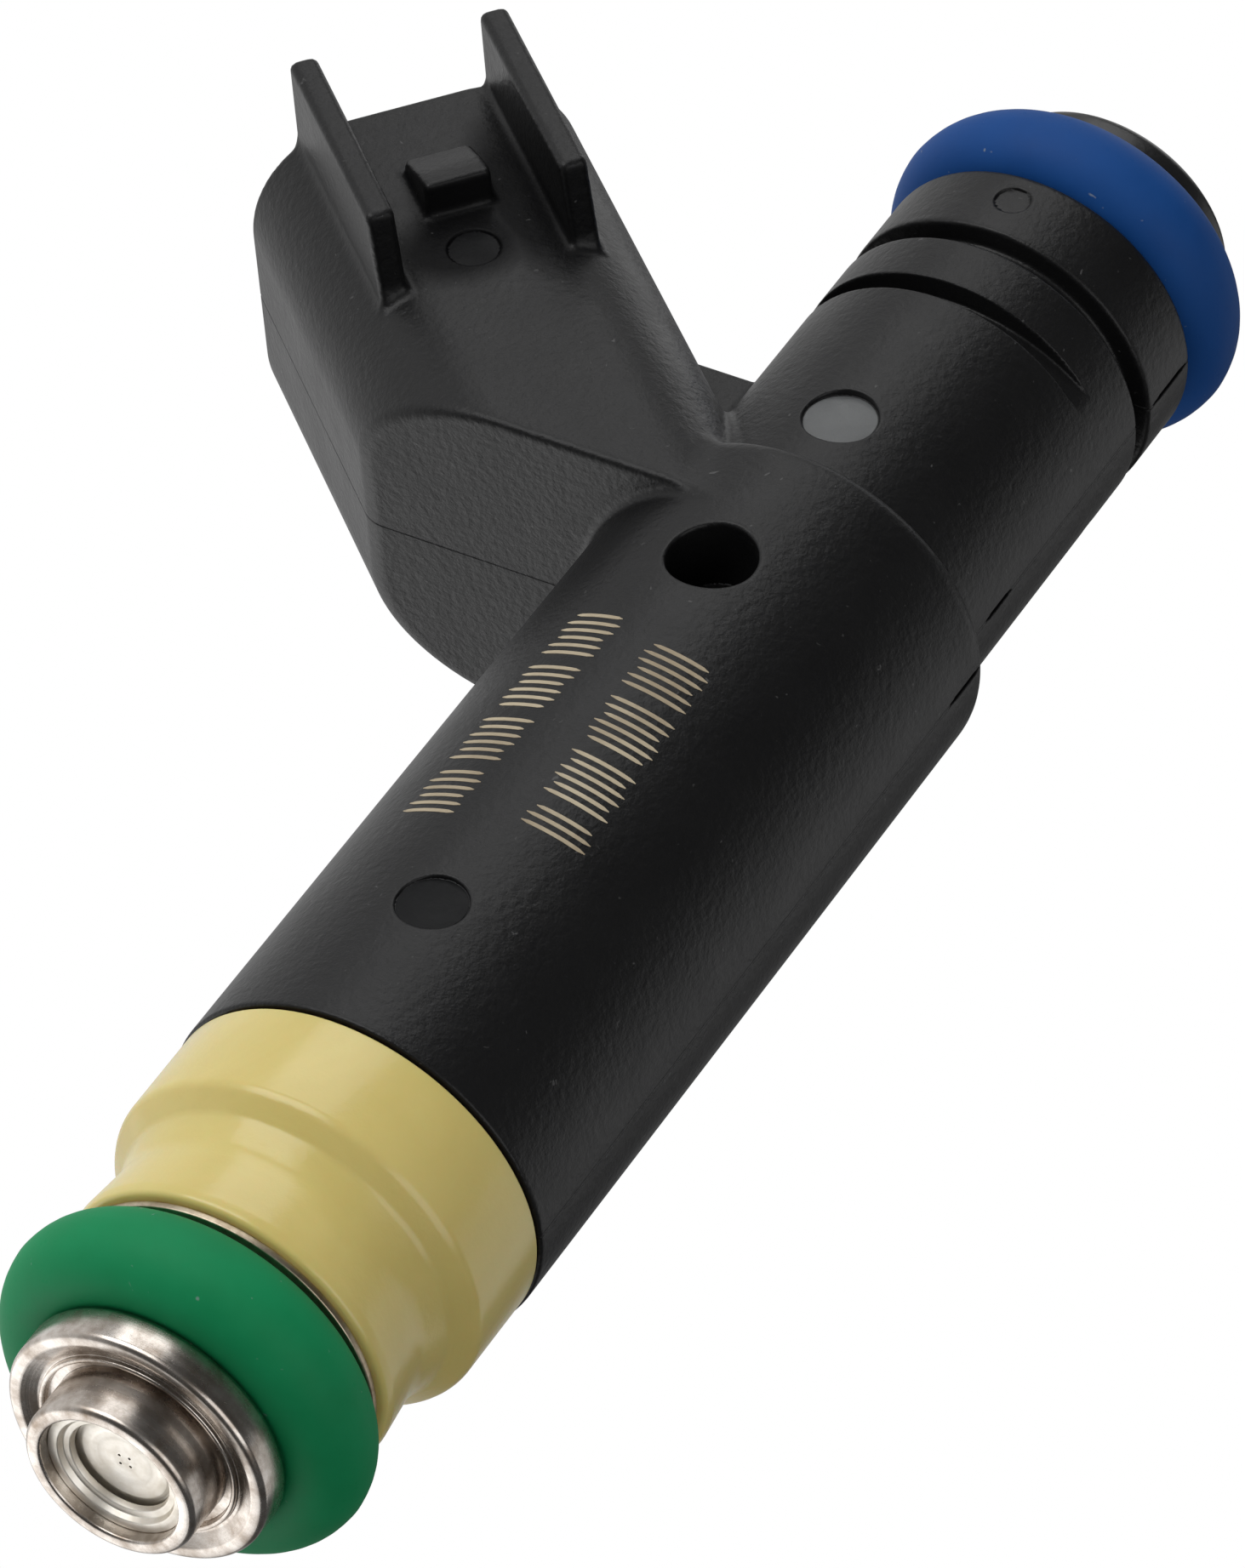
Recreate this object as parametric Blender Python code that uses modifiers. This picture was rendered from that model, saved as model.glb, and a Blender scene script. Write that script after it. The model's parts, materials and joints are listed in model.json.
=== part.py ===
"""A port fuel injector for a petrol engine, as an assembly of its separate pieces.

Frame: +Z runs up the injector's axis from the nozzle to the fuel inlet, the connector leans out
towards +X, and its lock ramp faces +Y. The origin is the centre of the lower O-ring. Metres.
"""

import math

import bmesh
import bpy
from mathutils import Matrix, Vector

MM = 0.001
GAP = 0.1 * MM  # clearance between pieces that touch on the real object
FINE = 36  # segments of the larger turned pieces
MEDIUM = 28
COARSE = 20

# ---- seals
O_RING_SPACING = 60.65 * MM
O_RING_RADIUS = 5.1 * MM
O_RING_SECTION = 1.8 * MM

# ---- spacer and washer, along Z
SPACER_BOTTOM = 2.25 * MM
SPACER_RADIUS = 7.02 * MM
SPACER_STEP = 7.2 * MM
SPACER_STEP_ROUND = 0.8 * MM
SPACER_WAIST = 5.92 * MM
SPACER_WAIST_Z = 4.8 * MM
SPACER_FOOT = 6.14 * MM
SPACER_FOOT_Z = 2.8 * MM
BODY_RADIUS = 5.1 * MM
WASHER_RADIUS = 5.8 * MM
WASHER_LOW = O_RING_SECTION + GAP
WASHER_HIGH = SPACER_BOTTOM - GAP

# ---- overmold, along Z
BARREL_RADIUS = 7.1 * MM
NECK_RADIUS = 6.2 * MM
BARREL_BOTTOM = 10.65 * MM
SHOULDER_Z = 41.6 * MM
SHOULDER_ROUND = 0.7 * MM
GROOVE_RADIUS = 5.3 * MM
GROOVE_BOTTOM = 54.5 * MM
GROOVE_TOP = 55.4 * MM
CLIP_SLOT_BOTTOM = 51.45 * MM
CLIP_SLOT_TOP = 52.3 * MM
CLIP_FLOOR_RADIUS = 7.46 * MM  # of the arc that each clip slot's floor follows
CLIP_FLOOR_OFFSET = 2.16 * MM  # of that arc's centre, beyond the axis
COLLAR_TOP = 58.6 * MM
EDGE_ROUND = 0.25 * MM

# ---- connector, in its own frame: a along its axis, w across it in the XZ plane, h along +Y
CONNECTOR_TILT = math.radians(41.7)
CONNECTOR_ROOT_Z = 32.4 * MM
SHROUD_HALF_W = 6.2 * MM
SHROUD_HALF_H = 6.9 * MM
SHROUD_CORNER = 4.1 * MM
SHROUD_START = 4.0 * MM
SHROUD_MOUTH = 29.25 * MM
UNDERSIDE_Z = 38.3 * MM
SOCKET_WALL = 1.35 * MM
SOCKET_FLOOR = 15.5 * MM
FIN_INNER = 3.05 * MM
FIN_OUTER = 4.1 * MM
FIN_TOP = 9.95 * MM
FIN_REAR = 20.2 * MM
FIN_REAR_FOOT = 19.1 * MM
FIN_ROOT = 6.0 * MM
FIN_FRONT = 29.5 * MM
RAMP_HALF_W = 1.25 * MM
RAMP_REAR = 22.75 * MM
RAMP_FRONT = 25.55 * MM
RAMP_TOP = 8.45 * MM
RAMP_NOSE = 7.5 * MM
GUSSET_HALF = 1.5 * MM
GUSSET_TOP = 49.4 * MM
GUSSET_REACH = 10.4 * MM

# ---- terminals
BLADE_W = 2.5 * MM
BLADE_HALF_WIDTH = 0.75 * MM
BLADE_HALF_THICK = 0.32 * MM
BLADE_TIP = 24.0 * MM
LEG_HALF_WIDTH = 0.18 * MM
LEG_INNER_X = 4.18 * MM
LEG_INNER_TOP = 42.6 * MM
LEG_OUTER_X = 4.9 * MM
LEG_OUTER_TOP = 39.2 * MM
LEG_FOOT = 29.3 * MM

# ---- solenoid stack, along Z
SHELL_RADIUS = 6.15 * MM
SHELL_BORE = 5.4 * MM
SHELL_BOTTOM = 12.2 * MM
SHELL_TOP = 31.0 * MM
FLUX_RING = 1.5 * MM
BOBBIN_RADIUS = 5.2 * MM
BOBBIN_CORE = 4.05 * MM
BOBBIN_FLANGE = 0.8 * MM
SEAL_RADIUS = 3.68 * MM
SEAL_SECTION = 0.2 * MM
SLEEVE_RADIUS = 3.35 * MM
SLEEVE_LOW = 10.0 * MM
SLEEVE_HIGH = 20.0 * MM
CORE_RADIUS = 2.95 * MM

# ---- fuel tube
TUBE_RADIUS = 3.2 * MM
TUBE_BORE = 2.5 * MM
TUBE_TOP = 63.7 * MM
POLE_BOTTOM = 17.2 * MM
POLE_TOP = 33.0 * MM
POLE_BORE = 1.3 * MM
FILTER_TOP = TUBE_TOP - 0.3 * MM
FILTER_LOW = 54.5 * MM
FILTER_WALL = 0.75 * MM

# ---- ring round the tip
RING_TOP_RADIUS = 4.8 * MM
RING_RADIUS = 4.87 * MM
RING_ROUND = 0.45 * MM
RING_LOW = -3.3 * MM
RING_FACE = 4.2 * MM
RING_DISH = -2.95 * MM
RING_DISH_R = (3.95 * MM, 3.7 * MM)
RING_LIP = -3.15 * MM
RING_LIP_R = (3.6 * MM, 3.42 * MM)

# ---- valve
TIP_RADIUS = 3.2 * MM
TIP_BORE = 2.6 * MM
TIP_END = -4.95 * MM
BALL_RADIUS = 1.5 * MM
BALL_Z = -0.9 * MM
SEAT_BORE = 0.5 * MM
SEAT_TOP = -1.15 * MM
SEAT_BOTTOM = -3.6 * MM
PLATE_TOP = SEAT_BOTTOM - GAP
PLATE_LOW = PLATE_TOP - 0.2 * MM
SEAT_GROOVE = (-2.1 * MM, -2.8 * MM)
SEAT_GROOVE_DEEP = 0.45 * MM
SEAT_OUTLET = 0.9 * MM
SEAT_SEAL_SECTION = 0.2 * MM
BACKUP_LOW = -4.5 * MM
BACKUP_STEP = -4.25 * MM
BACKUP_RADII = (2.2 * MM, 2.1 * MM, 1.85 * MM, 1.8 * MM)
SPRAY_HOLES = 4
SPRAY_HOLE_RADIUS = 0.09 * MM
SPRAY_CIRCLE = 0.28 * MM
GUIDE_HOLES = 6
GUIDE_HOLE_RADIUS = 0.27 * MM
GUIDE_CIRCLE = 2.07 * MM
GUIDE_THICK = 0.4 * MM
NEEDLE_RADIUS = 1.1 * MM
NEEDLE_BORE = 0.6 * MM
NEEDLE_LOW = 0.62 * MM
NEEDLE_HIGH = 14.0 * MM
ARMATURE_TOP = 17.0 * MM
ARMATURE_BOTTOM = 10.2 * MM
SPRING_SEAT = 15.0 * MM
SPRING_LOW = 15.3 * MM
SPRING_HIGH = 23.6 * MM
SPRING_WIRE = 0.17 * MM
SPRING_TURNS = 8
ADJUSTER_LENGTH = 7.0 * MM
ADJUSTER_BORE = 0.75 * MM

# ---- materials: colour, roughness, metallic
FINISHES = {
    "black_nylon": ((0.020, 0.020, 0.021), 0.42, 0.0),
    "cream_plastic": ((0.76, 0.66, 0.35), 0.38, 0.0),
    "green_rubber": ((0.01, 0.26, 0.10), 0.45, 0.0),
    "blue_rubber": ((0.01, 0.09, 0.36), 0.45, 0.0),
    "brown_rubber": ((0.10, 0.04, 0.02), 0.55, 0.0),
    "bright_steel": ((0.74, 0.72, 0.70), 0.16, 1.0),
    "grey_steel": ((0.42, 0.42, 0.42), 0.34, 1.0),
    "tinned_brass": ((0.72, 0.66, 0.48), 0.28, 1.0),
    "copper_wire": ((0.72, 0.30, 0.14), 0.35, 1.0),
    "bobbin_nylon": ((0.30, 0.27, 0.22), 0.50, 0.0),
    "filter_nylon": ((0.80, 0.78, 0.70), 0.60, 0.0),
}


def clear_scene():
    for obj in list(bpy.data.objects):
        bpy.data.objects.remove(obj)


def collection(name, hidden=False):
    made = bpy.data.collections.new(name)
    made.hide_render = hidden
    bpy.context.scene.collection.children.link(made)
    return made


def material(name):
    made = bpy.data.materials.get(name)
    if made:
        return made
    colour, roughness, metallic = FINISHES[name]
    made = bpy.data.materials.new(name)
    made.use_nodes = True
    shader = made.node_tree.nodes["Principled BSDF"]
    shader.inputs["Base Color"].default_value = (*colour, 1)
    shader.inputs["Roughness"].default_value = roughness
    shader.inputs["Metallic"].default_value = metallic
    return made


def add_object(name, data, finish=None):
    """A new object: a part where it has a finish, a cutter or a building block where it has none."""
    obj = bpy.data.objects.new(name, data)
    if finish:
        data.materials.append(material(finish))
        PARTS.objects.link(obj)
    else:
        obj.hide_render = True
        obj.display_type = "WIRE"
        CUTTERS.objects.link(obj)
    return obj


def smooth(obj):
    """Round faces smooth and edges sharp, for display."""
    obj.data.shade_smooth()
    obj.data.set_sharp_from_angle(angle=math.radians(35))


def arc(radius, centre_r, centre_z, start, end, steps):
    """Points (r, z) on an arc, from the angle start to the angle end in degrees, 0 being outwards."""
    points = []
    for step in range(steps + 1):
        angle = math.radians(start + (end - start) * step / steps)
        points.append((centre_r + radius * math.cos(angle), centre_z + radius * math.sin(angle)))
    return points


def turned(name, outline, finish=None, segments=MEDIUM):
    """A turned piece. The outline (r, z) runs down its outer side, and it is closed where it misses the axis."""
    mesh = bpy.data.meshes.new(name)
    count = len(outline)
    on_axis = outline[0][0] == 0
    edges = [(i, i + 1) for i in range(count - 1)]
    if not on_axis:
        edges.append((count - 1, 0))
    mesh.from_pydata([(r, 0, z) for r, z in outline], edges, [])
    obj = add_object(name, mesh, finish)
    screw = obj.modifiers.new("turn", "SCREW")
    screw.steps = segments
    screw.render_steps = segments
    screw.use_merge_vertices = True
    screw.merge_threshold = 1e-6
    screw.use_smooth_shade = True
    return obj


def ring(name, inner, outer, low, high, finish=None, segments=MEDIUM):
    outline = [(outer, high), (outer, low), (inner, low), (inner, high)]
    return turned(name, outline, finish, segments)


def rod(name, radius, low, high, finish=None, segments=COARSE):
    outline = [(0, high), (radius, high), (radius, low), (0, low)]
    return turned(name, outline, finish, segments)


def o_ring(name, radius, section, z, finish, segments=FINE, sides=12):
    bpy.ops.mesh.primitive_torus_add(
        major_radius=radius,
        minor_radius=section,
        major_segments=segments,
        minor_segments=sides,
        location=(0, 0, z),
    )
    obj = bpy.context.object
    obj.name = name
    obj.data.name = name
    obj.data.materials.append(material(finish))
    for owner in list(obj.users_collection):
        owner.objects.unlink(obj)
    PARTS.objects.link(obj)
    smooth(obj)
    return obj


def prism(name, outline, low, high, placing, finish=None):
    """A flat outline (u, v) pushed from low to high along its normal, then placed by a matrix."""
    curve = bpy.data.curves.new(name, "CURVE")
    curve.dimensions = "2D"
    curve.fill_mode = "BOTH"
    curve.extrude = (high - low) / 2
    spline = curve.splines.new("POLY")
    spline.points.add(len(outline) - 1)
    for point, (u, v) in zip(spline.points, outline):
        point.co = (u, v, 0, 1)
    spline.use_cyclic_u = True
    flat = bpy.data.objects.new(name, curve)
    bpy.context.scene.collection.objects.link(flat)
    bpy.context.view_layer.update()
    mesh = bpy.data.meshes.new_from_object(flat.evaluated_get(bpy.context.evaluated_depsgraph_get()))
    bpy.data.objects.remove(flat)
    shape = bmesh.new()
    shape.from_mesh(mesh)
    bmesh.ops.remove_doubles(shape, verts=shape.verts, dist=1e-6)
    bmesh.ops.translate(shape, verts=shape.verts, vec=(0, 0, (low + high) / 2))
    bmesh.ops.recalc_face_normals(shape, faces=shape.faces)
    shape.to_mesh(mesh)
    shape.free()
    mesh.name = name
    obj = add_object(name, mesh, finish)
    obj.matrix_world = placing
    return obj


def boolean(obj, other, operation="DIFFERENCE"):
    modifier = obj.modifiers.new(other.name, "BOOLEAN")
    modifier.operation = operation
    modifier.object = other


def rounded_rectangle(half_u, half_v, corner, steps=6):
    points = []
    for quarter, (side_u, side_v) in enumerate(((1, 1), (-1, 1), (-1, -1), (1, -1))):
        centre_u = side_u * (half_u - corner)
        centre_v = side_v * (half_v - corner)
        points += arc(corner, centre_u, centre_v, 90 * quarter, 90 * quarter + 90, steps)
    return points


def band(points, half_width):
    """The outline of a flat strip of this half width along a bent line, mitred at its bends."""
    left = []
    right = []
    for i, point in enumerate(points):
        here = Vector(point)
        before = (here - Vector(points[i - 1])).normalized() if i else None
        after = (Vector(points[i + 1]) - here).normalized() if i + 1 < len(points) else None
        along = ((before or after) + (after or before)).normalized()
        reach = half_width / along.dot(after or before)
        side = Vector((-along.y, along.x)) * reach
        left.append(tuple(here + side))
        right.append(tuple(here - side))
    return left + right[::-1]


# ---- the connector's frame
TILT_COS = math.cos(CONNECTOR_TILT)
TILT_SIN = math.sin(CONNECTOR_TILT)
ALONG = Vector((TILT_COS, 0, TILT_SIN))
ACROSS = Vector((-TILT_SIN, 0, TILT_COS))
OUTWARD = Vector((0, 1, 0))
ROOT = Vector((0, 0, CONNECTOR_ROOT_Z))


def axes_matrix(x_axis, y_axis, z_axis, origin):
    matrix = Matrix((x_axis, y_axis, z_axis)).transposed().to_4x4()
    matrix.translation = origin
    return matrix


SECTION_FRAME = axes_matrix(ACROSS, OUTWARD, -ALONG, ROOT)  # u = w, v = h, pushed along -a
SIDE_FRAME = axes_matrix(ALONG, OUTWARD, -ACROSS, ROOT)  # u = a, v = h, pushed along -w
UPRIGHT_FRAME = axes_matrix(Vector((1, 0, 0)), Vector((0, 0, 1)), Vector((0, -1, 0)), Vector())


def in_plane(a, w):
    """The (x, z) of a point of the connector's middle plane."""
    point = ROOT + a * ALONG + w * ACROSS
    return (point.x, point.z)


def mark(name, radius, depth, centre, normal, segments=COARSE):
    """A round cutter that enters a surface to this depth, at the centre point and along its normal."""
    obj = rod(name, radius, -depth, 2 * MM, segments=segments)
    obj.matrix_world = Matrix.Translation(centre) @ normal.to_track_quat("Z", "Y").to_matrix().to_4x4()
    return obj


def terminal_lines():
    """For each terminal: its bent middle line in the XZ plane, from bobbin to bend, blade and tip."""
    lines = {}
    for name, leg_x, leg_top, w in (
        ("terminal_upper", LEG_INNER_X, LEG_INNER_TOP, BLADE_W),
        ("terminal_lower", LEG_OUTER_X, LEG_OUTER_TOP, -BLADE_W),
    ):
        blade_start = in_plane(SOCKET_FLOOR - 1.5 * MM, w)
        lines[name] = ((leg_x, LEG_FOOT), (leg_x, leg_top), blade_start, in_plane(BLADE_TIP, w))
    return lines


def terminal_pieces(name, line, grow, finish=None):
    """The narrow leg and the wide blade of one terminal, or of the channel that it needs, as two prisms."""
    foot, bend, start, tip = line
    thick = BLADE_HALF_THICK + grow
    leg = prism(
        name, band((foot, bend, start), LEG_HALF_WIDTH + grow), -thick, thick, UPRIGHT_FRAME, finish
    )
    overlap = (Vector(start) - Vector(tip)).normalized() * 0.4 * MM
    blade_start = tuple(Vector(start) + overlap)
    blade = prism(
        f"{name}_blade",
        band((blade_start, tip), BLADE_HALF_WIDTH + grow),
        -thick,
        thick,
        UPRIGHT_FRAME,
    )
    return leg, blade


# ---- black overmold
def overmold_outline():
    """The outer side from the collar down to the barrel's lower edge, then the solid bottom."""
    outline = [(0, COLLAR_TOP)]
    outline += arc(EDGE_ROUND, NECK_RADIUS - EDGE_ROUND, COLLAR_TOP - EDGE_ROUND, 90, 0, 2)
    outline += [
        (NECK_RADIUS, GROOVE_TOP),
        (GROOVE_RADIUS, GROOVE_TOP),
        (GROOVE_RADIUS, GROOVE_BOTTOM),
        (NECK_RADIUS, GROOVE_BOTTOM),
        (NECK_RADIUS, SHOULDER_Z),
    ]
    outline += arc(SHOULDER_ROUND, BARREL_RADIUS - SHOULDER_ROUND, SHOULDER_Z - SHOULDER_ROUND, 90, 0, 4)
    outline += [(BARREL_RADIUS, BARREL_BOTTOM), (0, BARREL_BOTTOM)]
    return outline


def shroud():
    """The slanted shroud before it is hollowed, cut off flat on its underside."""
    outline = rounded_rectangle(SHROUD_HALF_W, SHROUD_HALF_H, SHROUD_CORNER)
    body = prism("shroud", outline, -SHROUD_MOUTH, -SHROUD_START, SECTION_FRAME)
    below = ((-20 * MM, 0), (40 * MM, 0), (40 * MM, UNDERSIDE_Z), (-20 * MM, UNDERSIDE_Z))
    boolean(body, prism("underside_cut", below, -20 * MM, 20 * MM, UPRIGHT_FRAME))
    return body


def shroud_details():
    """The two guide fins, the lock ramp and the gusset towards the neck."""
    fin = (
        (FIN_REAR_FOOT, FIN_ROOT),
        (FIN_FRONT, FIN_ROOT),
        (FIN_FRONT, FIN_TOP),
        (FIN_REAR, FIN_TOP),
    )
    ramp = (
        (RAMP_REAR, FIN_ROOT),
        (RAMP_FRONT, FIN_ROOT),
        (RAMP_FRONT, RAMP_NOSE),
        (RAMP_REAR + 0.5 * MM, RAMP_TOP),
        (RAMP_REAR, RAMP_TOP),
    )
    gusset_root = NECK_RADIUS - 1.2 * MM
    gusset = (
        (gusset_root, SHOULDER_Z),
        (GUSSET_REACH, SHOULDER_Z),
        (GUSSET_REACH, GUSSET_TOP),
        (gusset_root, GUSSET_TOP),
    )
    return [
        prism("fin_upper", fin, -FIN_OUTER, -FIN_INNER, SIDE_FRAME),
        prism("fin_lower", fin, FIN_INNER, FIN_OUTER, SIDE_FRAME),
        prism("lock_ramp", ramp, -RAMP_HALF_W, RAMP_HALF_W, SIDE_FRAME),
        prism("gusset", gusset, -GUSSET_HALF, GUSSET_HALF, UPRIGHT_FRAME),
    ]


def clip_slot(side):
    """A slot for the rail clip, on the +Y or the -Y side of the neck, running out at both its ends."""
    outer = NECK_RADIUS + 2 * MM
    inner_line = []
    outer_line = []
    for step in range(-10, 11):
        angle = math.radians(7 * step)
        across = CLIP_FLOOR_OFFSET * math.sin(angle)
        floor = math.sqrt(CLIP_FLOOR_RADIUS**2 - across**2) - CLIP_FLOOR_OFFSET * math.cos(angle)
        inner_line.append((floor * math.sin(angle), side * floor * math.cos(angle)))
        outer_line.append((outer * math.sin(angle), side * outer * math.cos(angle)))
    name = f"clip_slot_{'front' if side > 0 else 'back'}"
    return prism(name, inner_line + outer_line[::-1], CLIP_SLOT_BOTTOM, CLIP_SLOT_TOP, Matrix())


def ejector_marks():
    """The blind locating hole and the round marks of the mould's pins, all in the +Y side."""
    up = Vector((0, 1, 0))
    flat = ROOT + 20.7 * MM * ALONG - 0.2 * MM * ACROSS + SHROUD_HALF_H * up
    return [
        mark("locating_hole", 1.6 * MM, 2.9 * MM, Vector((0, BARREL_RADIUS, 35.5 * MM)), up),
        mark("neck_pin_mark", 1.35 * MM, 0.3 * MM, Vector((0, NECK_RADIUS, 44.5 * MM)), up),
        mark("barrel_pin_mark", 1.25 * MM, 0.2 * MM, Vector((0, BARREL_RADIUS, 16.7 * MM)), up),
        mark("collar_pin_mark", 0.65 * MM, 0.12 * MM, Vector((0, NECK_RADIUS, 57.2 * MM)), up, 16),
        mark("shroud_pin_mark", 0.95 * MM, 0.12 * MM, flat, up, 16),
    ]


def overmold_bore():
    """What the overmold is moulded round: the solenoid shell and the fuel tube above it."""
    shell = SHELL_RADIUS + GAP
    tube = TUBE_RADIUS + GAP
    step = SHELL_TOP + GAP
    outline = [
        (0, COLLAR_TOP + 1 * MM),
        (tube, COLLAR_TOP + 1 * MM),
        (tube, step),
        (shell, step),
        (shell, BARREL_BOTTOM - 1 * MM),
        (0, BARREL_BOTTOM - 1 * MM),
    ]
    return turned("overmold_bore", outline, segments=FINE)


def overmold_housing():
    housing = turned("overmold_housing", overmold_outline(), "black_nylon", FINE)
    boolean(housing, shroud(), "UNION")
    for piece in shroud_details():
        boolean(housing, piece, "UNION")
    inner_w = SHROUD_HALF_W - SOCKET_WALL
    inner_h = SHROUD_HALF_H - SOCKET_WALL
    inside = rounded_rectangle(inner_w, inner_h, SHROUD_CORNER - SOCKET_WALL)
    boolean(housing, prism("socket", inside, -SHROUD_MOUTH - 5 * MM, -SOCKET_FLOOR, SECTION_FRAME))
    boolean(housing, overmold_bore())
    for name, line in terminal_lines().items():
        for channel in terminal_pieces(f"{name}_channel", line, GAP):
            boolean(housing, channel)
    for side in (1, -1):
        boolean(housing, clip_slot(side))
    for cutter in ejector_marks():
        boolean(housing, cutter)
    return housing


def terminals():
    for name, line in terminal_lines().items():
        leg, blade = terminal_pieces(name, line, 0, "tinned_brass")
        boolean(leg, blade, "UNION")


# ---- outer pieces below and above the overmold
def spacer_collar():
    top = BARREL_BOTTOM - GAP
    outline = [(SPACER_RADIUS, top)]
    step = SPACER_STEP_ROUND
    outline += arc(step, SPACER_RADIUS - step - 0.05 * MM, SPACER_STEP, 0, -70, 4)
    outline += [
        (SPACER_WAIST + 0.05 * MM, SPACER_WAIST_Z + 1.2 * MM),
        (SPACER_WAIST, SPACER_WAIST_Z),
        (SPACER_FOOT, SPACER_FOOT_Z),
    ]
    foot = 0.2 * MM
    outline += arc(foot, SPACER_FOOT - foot - 0.02 * MM, SPACER_BOTTOM + foot, 0, -90, 2)
    outline += [(BODY_RADIUS + GAP, SPACER_BOTTOM), (BODY_RADIUS + GAP, top)]
    turned("spacer_collar", outline, "cream_plastic", FINE)


def nozzle_ring():
    top = -O_RING_SECTION - GAP
    bore = TIP_RADIUS + GAP
    outline = [(RING_TOP_RADIUS, top), (RING_RADIUS, top - 0.12 * MM)]
    outline += arc(RING_ROUND, RING_RADIUS - RING_ROUND, RING_LOW + RING_ROUND, 0, -90, 4)
    outline += [
        (RING_FACE, RING_LOW + 0.1 * MM),
        (RING_DISH_R[0], RING_DISH),
        (RING_DISH_R[1], RING_DISH),
        (RING_LIP_R[0], RING_LIP),
        (RING_LIP_R[1], RING_LIP),
        (bore, RING_DISH + 0.05 * MM),
        (bore, top),
    ]
    turned("nozzle_ring", outline, "bright_steel", FINE)


def inlet_retainer():
    low = O_RING_SPACING + O_RING_SECTION + GAP
    high = TUBE_TOP + 0.4 * MM
    lip = 2.75 * MM
    outline = arc(0.5 * MM, 4.45 * MM, high - 0.5 * MM, 90, 0, 4)
    outline += arc(0.3 * MM, 4.65 * MM, low + 0.3 * MM, 0, -90, 2)
    outline += [
        (TUBE_RADIUS + GAP, low),
        (TUBE_RADIUS + GAP, TUBE_TOP + GAP),
        (lip, TUBE_TOP + GAP),
        (lip, high),
    ]
    turned("inlet_retainer", outline, "black_nylon", FINE)


def seals():
    o_ring("lower_o_ring", O_RING_RADIUS, O_RING_SECTION, 0, "green_rubber")
    o_ring("upper_o_ring", O_RING_RADIUS, O_RING_SECTION, O_RING_SPACING, "blue_rubber")
    bore = TIP_RADIUS + GAP
    ring("backup_washer", bore, WASHER_RADIUS, WASHER_LOW, WASHER_HIGH, "bright_steel", FINE)


# ---- valve group, from the tip upwards
def valve_body():
    """The tip tube, the shoulder under the washer and the thick body that guides the armature."""
    wide_bore = CORE_RADIUS + GAP
    top = SHELL_BOTTOM - GAP
    outline = [(BODY_RADIUS, top), (BODY_RADIUS, SPACER_BOTTOM), (TIP_RADIUS, SPACER_BOTTOM)]
    outline += arc(0.45 * MM, TIP_RADIUS - 0.45 * MM, TIP_END + 0.45 * MM, 0, -90, 4)
    outline += [
        (TIP_BORE, TIP_END + 0.1 * MM),
        (TIP_BORE, 1.5 * MM),
        (wide_bore, 2.2 * MM),
        (wide_bore, SLEEVE_LOW - GAP),
        (SLEEVE_RADIUS + GAP, SLEEVE_LOW - GAP),
        (SLEEVE_RADIUS + GAP, top),
    ]
    turned("valve_body", outline, "bright_steel", FINE)


def orifice_plate():
    plate = rod("orifice_plate", TIP_BORE - GAP, PLATE_LOW, PLATE_TOP, "bright_steel", MEDIUM)
    for i in range(SPRAY_HOLES):
        angle = math.tau * (i + 0.5) / SPRAY_HOLES
        hole = rod(f"spray_hole_{i}", SPRAY_HOLE_RADIUS, -1 * MM, 1 * MM, segments=8)
        hole.location = (
            SPRAY_CIRCLE * math.cos(angle),
            SPRAY_CIRCLE * math.sin(angle),
            PLATE_LOW,
        )
        boolean(plate, hole)


def seat_group():
    outer = TIP_BORE - GAP
    apex = BALL_Z - math.sqrt(2) * (BALL_RADIUS + GAP / 2)  # of the 90 degree cone that the ball meets
    groove = outer - SEAT_GROOVE_DEEP
    outline = [
        (outer, SEAT_TOP),
        (outer, SEAT_GROOVE[0]),
        (groove, SEAT_GROOVE[0]),
        (groove, SEAT_GROOVE[1]),
        (outer, SEAT_GROOVE[1]),
        (outer, SEAT_BOTTOM),
        (SEAT_OUTLET, SEAT_BOTTOM),
        (SEAT_BORE, SEAT_BOTTOM + 0.5 * MM),
        (SEAT_BORE, apex + SEAT_BORE),
        (SEAT_TOP - apex, SEAT_TOP),
    ]
    turned("valve_seat", outline, "grey_steel", MEDIUM)
    seal_radius = TIP_BORE - SEAT_SEAL_SECTION - 0.13 * MM
    seal_z = sum(SEAT_GROOVE) / 2
    o_ring("seat_seal", seal_radius, SEAT_SEAL_SECTION, seal_z, "brown_rubber", COARSE, 8)
    backup = [
        (outer, PLATE_LOW - GAP),
        (outer, BACKUP_LOW),
        (BACKUP_RADII[0], BACKUP_LOW),
        (BACKUP_RADII[1], BACKUP_STEP),
        (BACKUP_RADII[2], BACKUP_STEP),
        (BACKUP_RADII[3], PLATE_LOW - GAP),
    ]
    turned("seat_backup_ring", backup, "bright_steel", FINE)
    guide_low = SEAT_TOP + GAP
    guide_high = guide_low + GUIDE_THICK
    guide = ring("lower_guide", BALL_RADIUS + GAP, outer, guide_low, guide_high, "grey_steel")
    for i in range(GUIDE_HOLES):
        angle = math.tau * (i + 0.13) / GUIDE_HOLES
        hole = rod(f"guide_hole_{i}", GUIDE_HOLE_RADIUS, -1 * MM, 1 * MM, segments=8)
        hole.location = (GUIDE_CIRCLE * math.cos(angle), GUIDE_CIRCLE * math.sin(angle), guide_low)
        boolean(guide, hole)


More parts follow.
